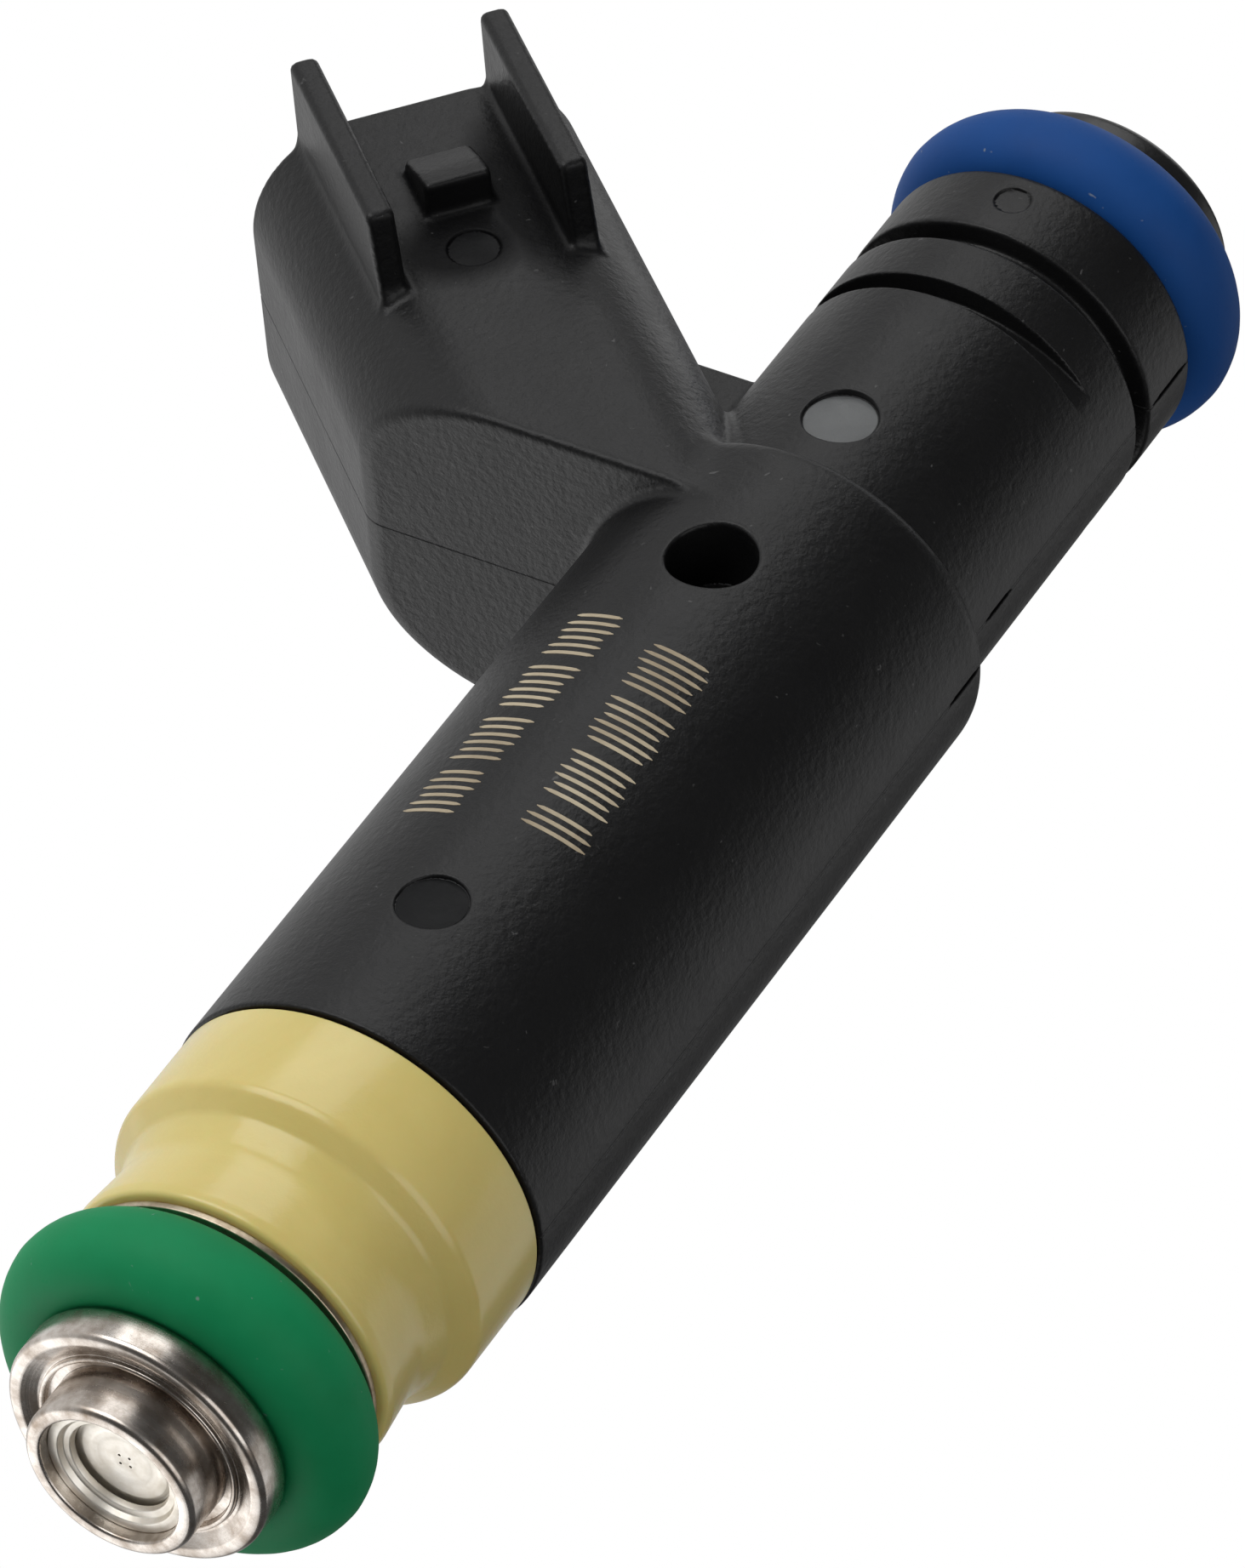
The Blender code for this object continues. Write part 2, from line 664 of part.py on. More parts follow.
def moving_group():
    """Ball, needle tube and armature, each with its origin on the axis that the group slides along."""
    bpy.ops.mesh.primitive_uv_sphere_add(segments=24, ring_count=14, radius=BALL_RADIUS)
    ball = bpy.context.object
    ball.name = "valve_ball"
    ball.data.name = "valve_ball"
    ball.location = (0, 0, BALL_Z)
    ball.data.materials.append(material("grey_steel"))
    for owner in list(ball.users_collection):
        owner.objects.unlink(ball)
    PARTS.objects.link(ball)
    smooth(ball)
    ring("needle_tube", NEEDLE_BORE, NEEDLE_RADIUS, NEEDLE_LOW, NEEDLE_HIGH, "grey_steel", COARSE)
    outer = CORE_RADIUS - GAP
    outline = [
        (outer, ARMATURE_TOP),
        (outer, ARMATURE_BOTTOM + 0.5 * MM),
        (outer - 0.5 * MM, ARMATURE_BOTTOM),
        (NEEDLE_RADIUS + GAP, ARMATURE_BOTTOM),
        (NEEDLE_RADIUS + GAP, NEEDLE_HIGH + GAP),
        (NEEDLE_BORE, NEEDLE_HIGH + GAP),
        (NEEDLE_BORE, SPRING_SEAT),
        (POLE_BORE, SPRING_SEAT),
        (POLE_BORE, ARMATURE_TOP),
    ]
    turned("armature", outline, "grey_steel", MEDIUM)


def helix(radius, low, high, turns, per_turn):
    points = []
    for step in range(turns * per_turn + 1):
        angle = math.tau * step / per_turn
        rise = (high - low) * step / (turns * per_turn)
        points.append((radius * math.cos(angle), radius * math.sin(angle), low + rise))
    return points


def wire(name, points, radius, finish):
    curve = bpy.data.curves.new(name, "CURVE")
    curve.dimensions = "3D"
    curve.bevel_depth = radius
    curve.bevel_resolution = 1
    curve.use_fill_caps = True
    spline = curve.splines.new("POLY")
    spline.points.add(len(points) - 1)
    for point, place in zip(spline.points, points):
        point.co = (*place, 1)
    return add_object(name, curve, finish)


def spring_group():
    turn_radius = POLE_BORE - 1.5 * GAP - SPRING_WIRE
    line = helix(turn_radius, SPRING_LOW, SPRING_HIGH, SPRING_TURNS, 10)
    wire("return_spring", line, SPRING_WIRE, "grey_steel")
    low = SPRING_HIGH + SPRING_WIRE + 2 * GAP
    high = low + ADJUSTER_LENGTH
    ring("adjusting_tube", ADJUSTER_BORE, POLE_BORE - GAP, low, high, "grey_steel", COARSE)


# ---- magnetic circuit and coil
def solenoid_group():
    ring("nonmagnetic_sleeve", CORE_RADIUS + GAP, SLEEVE_RADIUS, SLEEVE_LOW, SLEEVE_HIGH, "bright_steel")
    pole_outline = [
        (CORE_RADIUS, POLE_TOP),
        (CORE_RADIUS, POLE_BOTTOM),
        (POLE_BORE, POLE_BOTTOM),
        (POLE_BORE, POLE_TOP - 1 * MM),
        (2.0 * MM, POLE_TOP),
    ]
    turned("pole_piece", pole_outline, "grey_steel", MEDIUM)
    ring("solenoid_shell", SHELL_BORE, SHELL_RADIUS, SHELL_BOTTOM, SHELL_TOP, "grey_steel")
    flux_outer = SHELL_BORE - GAP
    flux_inner = SLEEVE_RADIUS + GAP
    low_top = SHELL_BOTTOM + FLUX_RING
    high_low = SHELL_TOP - FLUX_RING
    ring("lower_flux_ring", flux_inner, flux_outer, SHELL_BOTTOM, low_top, "grey_steel")
    upper = ring("upper_flux_ring", flux_inner, flux_outer, high_low, SHELL_TOP, "grey_steel")
    slot = ((3.5 * MM, 0), (8 * MM, 0), (8 * MM, 50 * MM), (3.5 * MM, 50 * MM))
    boolean(upper, prism("terminal_slot", slot, -0.7 * MM, 0.7 * MM, UPRIGHT_FRAME))
    low = low_top + GAP
    high = high_low - GAP
    pocket = SEAL_RADIUS + SEAL_SECTION + GAP
    pocket_deep = 2 * SEAL_SECTION + GAP
    bobbin_outline = [
        (BOBBIN_RADIUS, high),
        (BOBBIN_RADIUS, high - BOBBIN_FLANGE),
        (BOBBIN_CORE, high - BOBBIN_FLANGE),
        (BOBBIN_CORE, low + BOBBIN_FLANGE),
        (BOBBIN_RADIUS, low + BOBBIN_FLANGE),
        (BOBBIN_RADIUS, low),
        (pocket, low),
        (pocket, low + pocket_deep),
        (flux_inner, low + pocket_deep),
        (flux_inner, high - pocket_deep),
        (pocket, high - pocket_deep),
        (pocket, high),
    ]
    bobbin = turned("coil_bobbin", bobbin_outline, "bobbin_nylon", MEDIUM)
    for name, line in terminal_lines().items():
        boolean(bobbin, terminal_pieces(f"{name}_pocket", line, GAP)[0])
    ring(
        "coil_winding",
        BOBBIN_CORE + GAP,
        BOBBIN_RADIUS - GAP,
        low + BOBBIN_FLANGE + GAP,
        high - BOBBIN_FLANGE - GAP,
        "copper_wire",
    )
    for name, z in (("lower", low + SEAL_SECTION), ("upper", high - SEAL_SECTION)):
        o_ring(f"bobbin_seal_{name}", SEAL_RADIUS, SEAL_SECTION, z, "brown_rubber", COARSE, 8)


# ---- fuel tube and inlet filter
def inlet_group():
    low = SLEEVE_HIGH + GAP
    outline = [
        (TUBE_RADIUS, TUBE_TOP - 0.2 * MM),
        (TUBE_RADIUS, low),
        (CORE_RADIUS + GAP, low),
        (CORE_RADIUS + GAP, POLE_TOP + GAP),
        (TUBE_BORE, POLE_TOP + 0.5 * MM),
        (TUBE_BORE, TUBE_TOP),
        (TUBE_RADIUS - 0.2 * MM, TUBE_TOP),
    ]
    turned("inlet_tube", outline, "bright_steel", FINE)
    outer = TUBE_BORE - GAP
    wall = outer - FILTER_WALL
    cage = ring("filter_frame", wall, outer, FILTER_LOW, FILTER_TOP, "bobbin_nylon", COARSE)
    window = (
        (-5 * MM, FILTER_LOW + 0.8 * MM),
        (5 * MM, FILTER_LOW + 0.8 * MM),
        (5 * MM, FILTER_TOP - 2 * MM),
        (-5 * MM, FILTER_TOP - 2 * MM),
    )
    for i, turn in enumerate((0, 90)):
        placing = Matrix.Rotation(math.radians(turn), 4, "Z") @ UPRIGHT_FRAME
        boolean(cage, prism(f"filter_window_{i}", window, -1.1 * MM, 1.1 * MM, placing))
    sleeve = wall - GAP
    low = FILTER_LOW + 0.3 * MM
    high = FILTER_TOP - 1 * MM
    ring("filter_screen", sleeve - 0.2 * MM, sleeve, low, high, "filter_nylon", COARSE)


clear_scene()
PARTS = collection("fuel_injector")
CUTTERS = collection("cutters", hidden=True)
overmold_housing()
terminals()
spacer_collar()
nozzle_ring()
inlet_retainer()
seals()
valve_body()
orifice_plate()
seat_group()
moving_group()
spring_group()
solenoid_group()
inlet_group()
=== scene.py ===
"""The looks of a port fuel injector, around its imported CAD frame.

Frame: metres, +Z up the injector's axis from the nozzle to the fuel inlet, the electrical socket
leans out towards +X and its lock ramp faces +Y. Shapes below are written in millimetres.
"""

import itertools
import json
import math

import bmesh
import bpy
import numpy as np
from mathutils import Matrix, Vector


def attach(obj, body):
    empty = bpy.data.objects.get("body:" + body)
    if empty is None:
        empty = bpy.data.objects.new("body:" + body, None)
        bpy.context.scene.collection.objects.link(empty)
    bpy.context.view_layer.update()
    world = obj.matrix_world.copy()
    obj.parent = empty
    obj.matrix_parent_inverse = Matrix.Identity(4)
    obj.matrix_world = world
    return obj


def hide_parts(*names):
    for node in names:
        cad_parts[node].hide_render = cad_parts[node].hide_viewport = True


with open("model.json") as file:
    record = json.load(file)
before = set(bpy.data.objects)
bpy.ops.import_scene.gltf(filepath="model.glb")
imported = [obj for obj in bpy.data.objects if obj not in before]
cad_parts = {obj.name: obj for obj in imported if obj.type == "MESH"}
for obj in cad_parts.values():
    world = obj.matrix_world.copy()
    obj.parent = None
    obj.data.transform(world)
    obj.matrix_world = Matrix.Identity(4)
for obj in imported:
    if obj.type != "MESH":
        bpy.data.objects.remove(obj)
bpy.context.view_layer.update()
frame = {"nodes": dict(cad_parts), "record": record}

MM = 0.001
BODY = "injector_body"

# ---- overmold, millimetres
BARREL_RADIUS = 7.1
NECK_RADIUS = 6.2
BARREL_BOTTOM = 10.65
SHOULDER_Z = 41.6
COLLAR_TOP = 58.6
GROOVE_RADIUS = 5.3
GROOVE_Z = (54.5, 55.4)
CLIP_SLOT_Z = (51.45, 52.3)
CLIP_FLOOR_RADIUS = 7.46
CLIP_FLOOR_OFFSET = 2.16
SHELL_BORE = (6.25, 31.1)
TUBE_BORE = 3.3

# ---- connector: a along its axis, w across it in the XZ plane, h along +Y
TILT = math.radians(41.7)
ROOT_Z = 32.4
SHROUD_HALF_W = 6.2
SHROUD_HALF_H = 6.9
SHROUD_CORNER = 4.1
SHROUD_START = 4.0
SHROUD_MOUTH = 29.25
UNDERSIDE_Z = 38.3
SOCKET_WALL = 1.35
SOCKET_FLOOR = 15.5
FIN_W = (3.05, 4.1)
FIN_TOP = 9.95
FIN_REAR = (20.2, 19.1)
FIN_ROOT = 6.0
FIN_FRONT = 29.5
RAMP_HALF_W = 1.25
RAMP_A = (22.75, 23.25, 25.55)
RAMP_H = (8.45, 7.5)
GUSSET_HALF = 1.5
GUSSET_X = (5.0, 10.4)
GUSSET_Z = (41.6, 49.4)
BLADE_W = 2.5

# ---- mould marks. A round mark is (x, z, radius, y of its floor, rounding of its rim)
CROSS_HOLE = (0.0, 35.5, 1.6, 4.2, 0.2)
NECK_MARK = (0.0, 44.5, 1.35, 5.9, 0.12)
BARREL_MARK = (0.0, 16.7, 1.25, 6.9, 0.12)
COLLAR_MARK = (0.0, 57.2, 0.65, 6.08, 0.1)
SHROUD_MARK_PLACE = (20.7, -0.2)
SHROUD_MARK_RADIUS = 0.95
SHROUD_MARK_FLOOR = 6.78
PARTING_HALF = 0.045
PARTING_DEEP = 0.012
CREVICE_HALF = 0.09
CREVICE_DEEP = 0.3
CREVICES = (  # low, high and the radius of the wall they are in
    (38.9, 41.0, BARREL_RADIUS),
    (43.2, 45.0, NECK_RADIUS),
    (55.8, 58.2, NECK_RADIUS),
)

TILT_COS = math.cos(TILT)
TILT_SIN = math.sin(TILT)


def in_plane(a, w):
    """(x, z) of a place in the connector's plane y = 0."""
    return Vector((a * TILT_COS - w * TILT_SIN, ROOT_Z + a * TILT_SIN + w * TILT_COS))


# ---- distance fields of the overmold, in millimetres, negative inside
def smooth_max(first, second, leg):
    """The larger of two distances, with the edge between them rounded over this length."""
    blend = np.maximum(leg - np.abs(first - second), 0)
    return np.maximum(first, second) + blend * blend / (4 * leg)


def smooth_min(first, second, leg):
    """The smaller of two distances, with the corner between them rounded over this length."""
    return -smooth_max(-first, -second, leg)


def between(value, low, high):
    """The distance to the slab from low to high."""
    return np.abs(value - (low + high) / 2) - (high - low) / 2


def rounded_box(u, v, half_u, half_v, corner):
    """The distance to a rectangle round u = v = 0, with rounded corners."""
    across = np.abs(u) - (half_u - corner)
    along = np.abs(v) - (half_v - corner)
    outside = np.hypot(np.maximum(across, 0), np.maximum(along, 0))
    return outside + np.minimum(np.maximum(across, along), 0) - corner


def crevice(x, y, z, low, high, radius):
    """A thin slit in the -X side, pointed at both ends."""
    along = (z - (low + high) / 2) / ((high - low) / 2)
    half = CREVICE_HALF * np.sqrt(np.maximum(1 - along * along, 0))
    slit = np.maximum(np.abs(y) - half, radius - CREVICE_DEEP - x)
    return np.maximum(slit, between(z, low, high))


def round_mark(u, v, y, radius, floor):
    """A round recess in the +Y side, down to y = floor."""
    return np.maximum(np.hypot(u, v) - radius, floor - y)


# In the functions below, a call of smooth_max or smooth_min ends with the rounding of that edge.
def column_distance(r, z):
    """The barrel and the neck."""
    barrel = smooth_max(r - BARREL_RADIUS, z - SHOULDER_Z, 0.85)
    neck = smooth_max(r - NECK_RADIUS, z - COLLAR_TOP, 0.35)
    return smooth_max(smooth_min(barrel, neck, 0.25), BARREL_BOTTOM - z, 0.15)


def shroud_distance(a, w, y, z):
    """The outside of the slanted connector shroud."""
    box = rounded_box(w, y, SHROUD_HALF_W, SHROUD_HALF_H, SHROUD_CORNER)
    shroud = smooth_max(box, a - SHROUD_MOUTH, 0.3)
    shroud = smooth_max(shroud, UNDERSIDE_Z - z, 0.35)
    return np.maximum(shroud, SHROUD_START - a)


def gusset_distance(x, y, z):
    """The web between the neck and the shroud."""
    gusset = smooth_max(between(y, -GUSSET_HALF, GUSSET_HALF), between(z, *GUSSET_Z), 0.4)
    return np.maximum(gusset, between(x, *GUSSET_X))


def fin_distance(a, w, y):
    """The two guide fins, with their sloped rear feet."""
    rise = FIN_TOP - FIN_ROOT
    lean = FIN_REAR[0] - FIN_REAR[1]
    rear = ((FIN_REAR[0] - a) * rise + (y - FIN_TOP) * lean) / math.hypot(rise, lean)
    side = smooth_max(between(np.abs(w), *FIN_W), y - FIN_TOP, 0.3)
    fin = smooth_max(side, smooth_max(rear, a - FIN_FRONT, 0.3), 0.3)
    return np.maximum(fin, FIN_ROOT - y)


def ramp_distance(a, w, y):
    """The lock ramp."""
    run = RAMP_A[2] - RAMP_A[1]
    drop = RAMP_H[0] - RAMP_H[1]
    nose = ((y - RAMP_H[0]) * run + (a - RAMP_A[1]) * drop) / math.hypot(run, drop)
    ramp = smooth_max(smooth_max(y - RAMP_H[0], nose, 0.4), between(a, RAMP_A[0], RAMP_A[2]), 0.3)
    ramp = smooth_max(ramp, between(w, -RAMP_HALF_W, RAMP_HALF_W), 0.25)
    return np.maximum(ramp, FIN_ROOT - y)


def socket_distance(a, w, y):
    """The space inside the shroud."""
    wall = SOCKET_WALL
    socket = rounded_box(w, y, SHROUD_HALF_W - wall, SHROUD_HALF_H - wall, SHROUD_CORNER - wall)
    return smooth_max(socket, SOCKET_FLOOR - a, 0.5)


def slot_distance(x, y, z, r):
    """The space of the rail clip's two slots."""
    slot_floor = CLIP_FLOOR_RADIUS - np.hypot(x, np.abs(y) + CLIP_FLOOR_OFFSET)
    slot = smooth_max(slot_floor, between(z, *CLIP_SLOT_Z), 0.1)
    return np.maximum(slot, r - NECK_RADIUS - 2)


def overmold_distance(x, y, z):
    """The whole overmold: what it is joined from, then what is cut out of it."""
    r = np.hypot(x, y)
    a = x * TILT_COS + (z - ROOT_Z) * TILT_SIN
    w = -x * TILT_SIN + (z - ROOT_Z) * TILT_COS
    body = smooth_min(column_distance(r, z), gusset_distance(x, y, z), 0.5)
    body = smooth_min(body, shroud_distance(a, w, y, z), 0.45)
    body = smooth_min(body, fin_distance(a, w, y), 0.35)
    body = smooth_min(body, ramp_distance(a, w, y), 0.3)
    body = smooth_max(body, -socket_distance(a, w, y), 0.25)
    groove = smooth_max(between(r, GROOVE_RADIUS, NECK_RADIUS + 2), between(z, *GROOVE_Z), 0.2)
    body = smooth_max(body, -groove, 0.2)
    body = smooth_max(body, -slot_distance(x, y, z, r), 0.08)
    for mark_x, mark_z, radius, floor, rounding in (CROSS_HOLE, NECK_MARK, BARREL_MARK, COLLAR_MARK):
        body = smooth_max(body, -round_mark(x - mark_x, z - mark_z, y, radius, floor), rounding)
    mark_a, mark_w = SHROUD_MARK_PLACE
    shroud_mark = round_mark(a - mark_a, w - mark_w, y, SHROUD_MARK_RADIUS, SHROUD_MARK_FLOOR)
    body = smooth_max(body, -shroud_mark, 0.1)
    # the parting line all round the plane y = 0, and the slits where the mould halves meet
    parting = np.maximum(np.abs(y) - PARTING_HALF, -body - PARTING_DEEP)
    body = smooth_max(body, -parting, 0.03)
    for low, high, radius in CREVICES:
        body = smooth_max(body, -crevice(-x, y, z, low, high, radius), 0.05)
    bore = np.minimum(np.maximum(r - SHELL_BORE[0], z - SHELL_BORE[1]), r - TUBE_BORE)
    return np.maximum(body, -bore)


def slope_of(distance, points, step=0.01):
    """The gradient of a distance field at points."""
    gradient = np.empty_like(points)
    for axis in range(3):
        shift = np.zeros(3)
        shift[axis] = step
        above = distance(*(points + shift).T)
        below = distance(*(points - shift).T)
        gradient[:, axis] = (above - below) / (2 * step)
    return gradient


def settle(distance, points, most, rounds):
    """Points moved onto the zero surface, none of them further than most at a time."""
    for _ in range(rounds):
        gradient = slope_of(distance, points)
        length = np.maximum((gradient**2).sum(1), 0.05)
        move = -(distance(*points.T) / length)[:, None] * gradient
        points = points + np.clip(move, -most, most)
    return points


def grid_line(start, *runs):
    """Grid positions from start on, through runs of (step, end)."""
    places = [start]
    for step, end in runs:
        count = max(1, round((end - places[-1]) / step))
        places += list(np.linspace(places[-1], end, count + 1)[1:])
    return np.array(places)


def level_surface(distance, axes):
    """Points and quads of the zero surface of a distance field, on a grid with these axes."""
    grids = np.meshgrid(*axes, indexing="ij", sparse=True)
    field = distance(*[g.astype(np.float32) for g in grids])
    inside = field < 0
    shape = [n - 1 for n in field.shape]
    offsets = list(itertools.product((0, 1), repeat=3))
    count = np.zeros(shape, np.uint8)
    for i, j, k in offsets:
        count += inside[i : i + shape[0], j : j + shape[1], k : k + shape[2]]
    mixed = (count > 0) & (count < 8)
    cells = np.argwhere(mixed)
    index = np.full(shape, -1, np.int32)
    index[mixed] = np.arange(len(cells))
    values = np.stack([field[tuple((cells + o).T)] for o in offsets], 1)
    total = np.zeros((len(cells), 3))
    crossings = np.zeros(len(cells))
    for first, second in itertools.combinations(range(8), 2):
        start, end = np.array(offsets[first]), np.array(offsets[second])
        if np.abs(start - end).sum() != 1:
            continue
        crossed = (values[:, first] < 0) != (values[:, second] < 0)
        change = values[:, first] - values[:, second]
        share = np.where(crossed, values[:, first] / np.where(crossed, change, 1), 0)
        total += np.where(crossed[:, None], start + share[:, None] * (end - start), 0)
        crossings += crossed
    places = cells + total / crossings[:, None]
    points = np.stack([np.interp(places[:, i], np.arange(len(axes[i])), axes[i]) for i in range(3)], 1)
    quads = []
    for axis in range(3):
        other = [i for i in range(3) if i != axis]
        first = np.take(inside, range(inside.shape[axis] - 1), axis)
        second = np.take(inside, range(1, inside.shape[axis]), axis)
        for entering in (True, False):
            edges = np.argwhere((first == entering) & (second != entering))
            loop = []
            for du, dv in ((1, 1), (0, 1), (0, 0), (1, 0)):
                corner = edges.copy()
                corner[:, other[0]] -= du
                corner[:, other[1]] -= dv
                loop.append(index[tuple(corner.T)])
            quad = np.stack(loop, 1)
            turned = entering != (axis == 1)
            quads.append(quad if turned else quad[:, ::-1])
    return points, np.concatenate(quads)


# ---- objects
def piece(name, mesh, finish, slot, *nodes, body=BODY):
    """A new object in the frame, riding on a body, standing for these CAD nodes."""
    obj = bpy.data.objects.new(name, mesh)
    bpy.context.scene.collection.objects.link(obj)
    mesh.materials.append(finish.material)
    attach(obj, body)
    if nodes:
        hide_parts(*nodes)
    return obj


def mesh_of(name, points, faces, smooth_angle=35):
    """A mesh from points in millimetres."""
    mesh = bpy.data.meshes.new(name)
    mesh.from_pydata([tuple(p) for p in np.asarray(points) * MM], [], [tuple(f) for f in faces])
    mesh.validate()
    mesh.shade_smooth()
    mesh.set_sharp_from_angle(angle=math.radians(smooth_angle))
    return mesh


def facing_out(mesh):
    """The mesh with its faces turned outwards."""
    shape = bmesh.new()
    shape.from_mesh(mesh)
    bmesh.ops.recalc_face_normals(shape, faces=shape.faces)
    shape.to_mesh(mesh)
    shape.free()
    return mesh


def overmold_mesh():
    """The whole overmold. Its grid is fine where the marks, slots and the parting line are."""
    axes = (
        grid_line(-7.6, (0.15, -1.8), (0.07, 1.8), (0.15, 14.4), (0.08, 16.8), (0.15, 26.1)),
        grid_line(-7.6, (0.15, -0.2), (0.04, 0.2), (0.15, 5.7), (0.07, 7.2), (0.13, 10.5)),
        grid_line(
            10.1, (0.1, 11.2), (0.6, 15.2), (0.07, 18.2), (0.6, 33.6), (0.08, 37.4), (0.14, 42.8),
            (0.07, 47.2), (0.15, 51.3), (0.07, 52.5), (0.15, 54.4), (0.07, 55.6), (0.13, 59.1),
        ),
    )
    points, quads = level_surface(overmold_distance, axes)
    mesh = bpy.data.meshes.new("overmold")
    mesh.vertices.add(len(points))
    mesh.vertices.foreach_set("co", points.astype(np.float32).ravel())
    mesh.loops.add(quads.size)
    mesh.loops.foreach_set("vertex_index", quads.astype(np.int32).ravel())
    mesh.polygons.add(len(quads))
    mesh.polygons.foreach_set("loop_start", np.arange(0, quads.size, 4, dtype=np.int32))
    mesh.update(calc_edges=True)
    mesh.validate()
    points = settle(overmold_distance, points, 0.05, 4)
    mesh.vertices.foreach_set("co", (points * MM).astype(np.float32).ravel())
    normals = slope_of(overmold_distance, points)
    normals /= np.maximum(np.linalg.norm(normals, axis=1), 1e-6)[:, None]
    mesh.shade_smooth()
    mesh.normals_split_custom_set_from_vertices([tuple(n) for n in normals])
    return mesh


def filleted(corners, steps=5):
    """A closed outline from corners (r, z, fillet radius)."""
    outline = []
    count = len(corners)
    for i, (r, z, radius) in enumerate(corners):
        here = Vector((r, z))
        before = Vector(corners[i - 1][:2]) - here
        after = Vector(corners[(i + 1) % count][:2]) - here
        if radius == 0:
            outline.append((r, z))
            continue
        half = before.angle(after) / 2
        reach = min(radius / math.tan(half), before.length * 0.49, after.length * 0.49)
        radius = reach * math.tan(half)
        centre = here + (before.normalized() + after.normalized()).normalized() * (radius / math.sin(half))
        start = here + before.normalized() * reach - centre
        end = here + after.normalized() * reach - centre
        turn = start.angle_signed(end)
        for step in range(steps + 1):
            spoke = start.copy()
            spoke.rotate(Matrix.Rotation(-turn * step / steps, 2))
            outline.append(tuple(centre + spoke))
    return outline


def lathe(name, outline, segments=160):
    """A turned mesh from a closed outline (r, z)."""
    angles = np.arange(segments) * math.tau / segments
    profile = np.array(outline)
    count = len(profile)
    points = np.stack(
        [
            np.outer(np.cos(angles), profile[:, 0]),
            np.outer(np.sin(angles), profile[:, 0]),
            np.tile(profile[:, 1], (segments, 1)),
        ],
        2,
    ).reshape(-1, 3)
    faces = []
    for i in range(segments):
        here = i * count
        there = (i + 1) % segments * count
        for j in range(count):
            k = (j + 1) % count
            faces.append((here + j, here + k, there + k, there + j))
    area = sum(p[0] * q[1] - q[0] * p[1] for p, q in zip(outline, outline[1:] + outline[:1]))
    if area > 0:
        faces = [f[::-1] for f in faces]
    return mesh_of(name, points, faces)


# ---- finishes
class Finish:
    """A material, with short calls for building its node tree."""

    def __init__(self, name):
        self.material = bpy.data.materials.new(name)
        self.material.use_nodes = True
        self.tree = self.material.node_tree
        self.shader = self.tree.nodes["Principled BSDF"]
        self.place = self.add("ShaderNodeTexCoord").outputs["Object"]

    def add(self, kind, **settings):
        node = self.tree.nodes.new(kind)
        for key, value in settings.items():
            setattr(node, key, value)
        return node

    def put(self, socket, value):
        if isinstance(value, bpy.types.NodeSocket):
            self.tree.links.new(value, socket)
        else:
            socket.default_value = value

    def math(self, operation, first, second=0.0):
        node = self.add("ShaderNodeMath", operation=operation)
        self.put(node.inputs[0], first)
        self.put(node.inputs[1], second)
        return node.outputs[0]

    def noise(self, scale, detail=3.0, rough=0.55, vector=None, distortion=0.0):
        node = self.add("ShaderNodeTexNoise")
        self.put(node.inputs["Vector"], vector or self.place)
        self.put(node.inputs["Scale"], scale)
        self.put(node.inputs["Detail"], detail)
        self.put(node.inputs["Roughness"], rough)
        self.put(node.inputs["Distortion"], distortion)
        return node.outputs["Fac"]

    def spread(self, value, low, high, to_low, to_high):
        node = self.add("ShaderNodeMapRange")
        self.put(node.inputs["Value"], value)
        for key, number in (("From Min", low), ("From Max", high), ("To Min", to_low), ("To Max", to_high)):
            self.put(node.inputs[key], number)
        return node.outputs["Result"]

    def mix(self, share, first, second):
        node = self.add("ShaderNodeMix", data_type="RGBA")
        self.put(node.inputs[0], share)
        self.put(node.inputs[6], first)
        self.put(node.inputs[7], second)
        return node.outputs[2]

    def dot(self, vector, direction):
        node = self.add("ShaderNodeVectorMath", operation="DOT_PRODUCT")
        self.put(node.inputs[0], vector)
        self.put(node.inputs[1], direction)
        return node.outputs["Value"]

    def bump(self, height, depth, normal=None):
        node = self.add("ShaderNodeBump")
        self.put(node.inputs["Strength"], 1.0)
        self.put(node.inputs["Distance"], depth)
        self.put(node.inputs["Height"], height)
        if normal:
            self.put(node.inputs["Normal"], normal)
        return node.outputs["Normal"]

    def turned_place(self):
        """(radius, z, a little of the angle): what is drawn with it runs round the axis."""
        drift = 0.000025
        split = self.add("ShaderNodeSeparateXYZ")
        self.put(split.inputs[0], self.place)
        radius = self.add("ShaderNodeVectorMath", operation="LENGTH")
        flat = self.add("ShaderNodeCombineXYZ")
        self.put(flat.inputs[0], split.outputs[0])
        self.put(flat.inputs[1], split.outputs[1])
        self.put(radius.inputs[0], flat.outputs[0])
        angle = self.math("ARCTAN2", split.outputs[1], split.outputs[0])
        joined = self.add("ShaderNodeCombineXYZ")
        self.put(joined.inputs[0], radius.outputs["Value"])
        self.put(joined.inputs[1], split.outputs[2])
        self.put(joined.inputs[2], self.math("MULTIPLY", self.math("SINE", angle), drift))
        return joined.outputs[0]

    def set(self, **inputs):
        for key, value in inputs.items():
            self.put(self.shader.inputs[key.replace("_", " ")], value)


def rgb(red, green, blue):
    return (red, green, blue, 1.0)


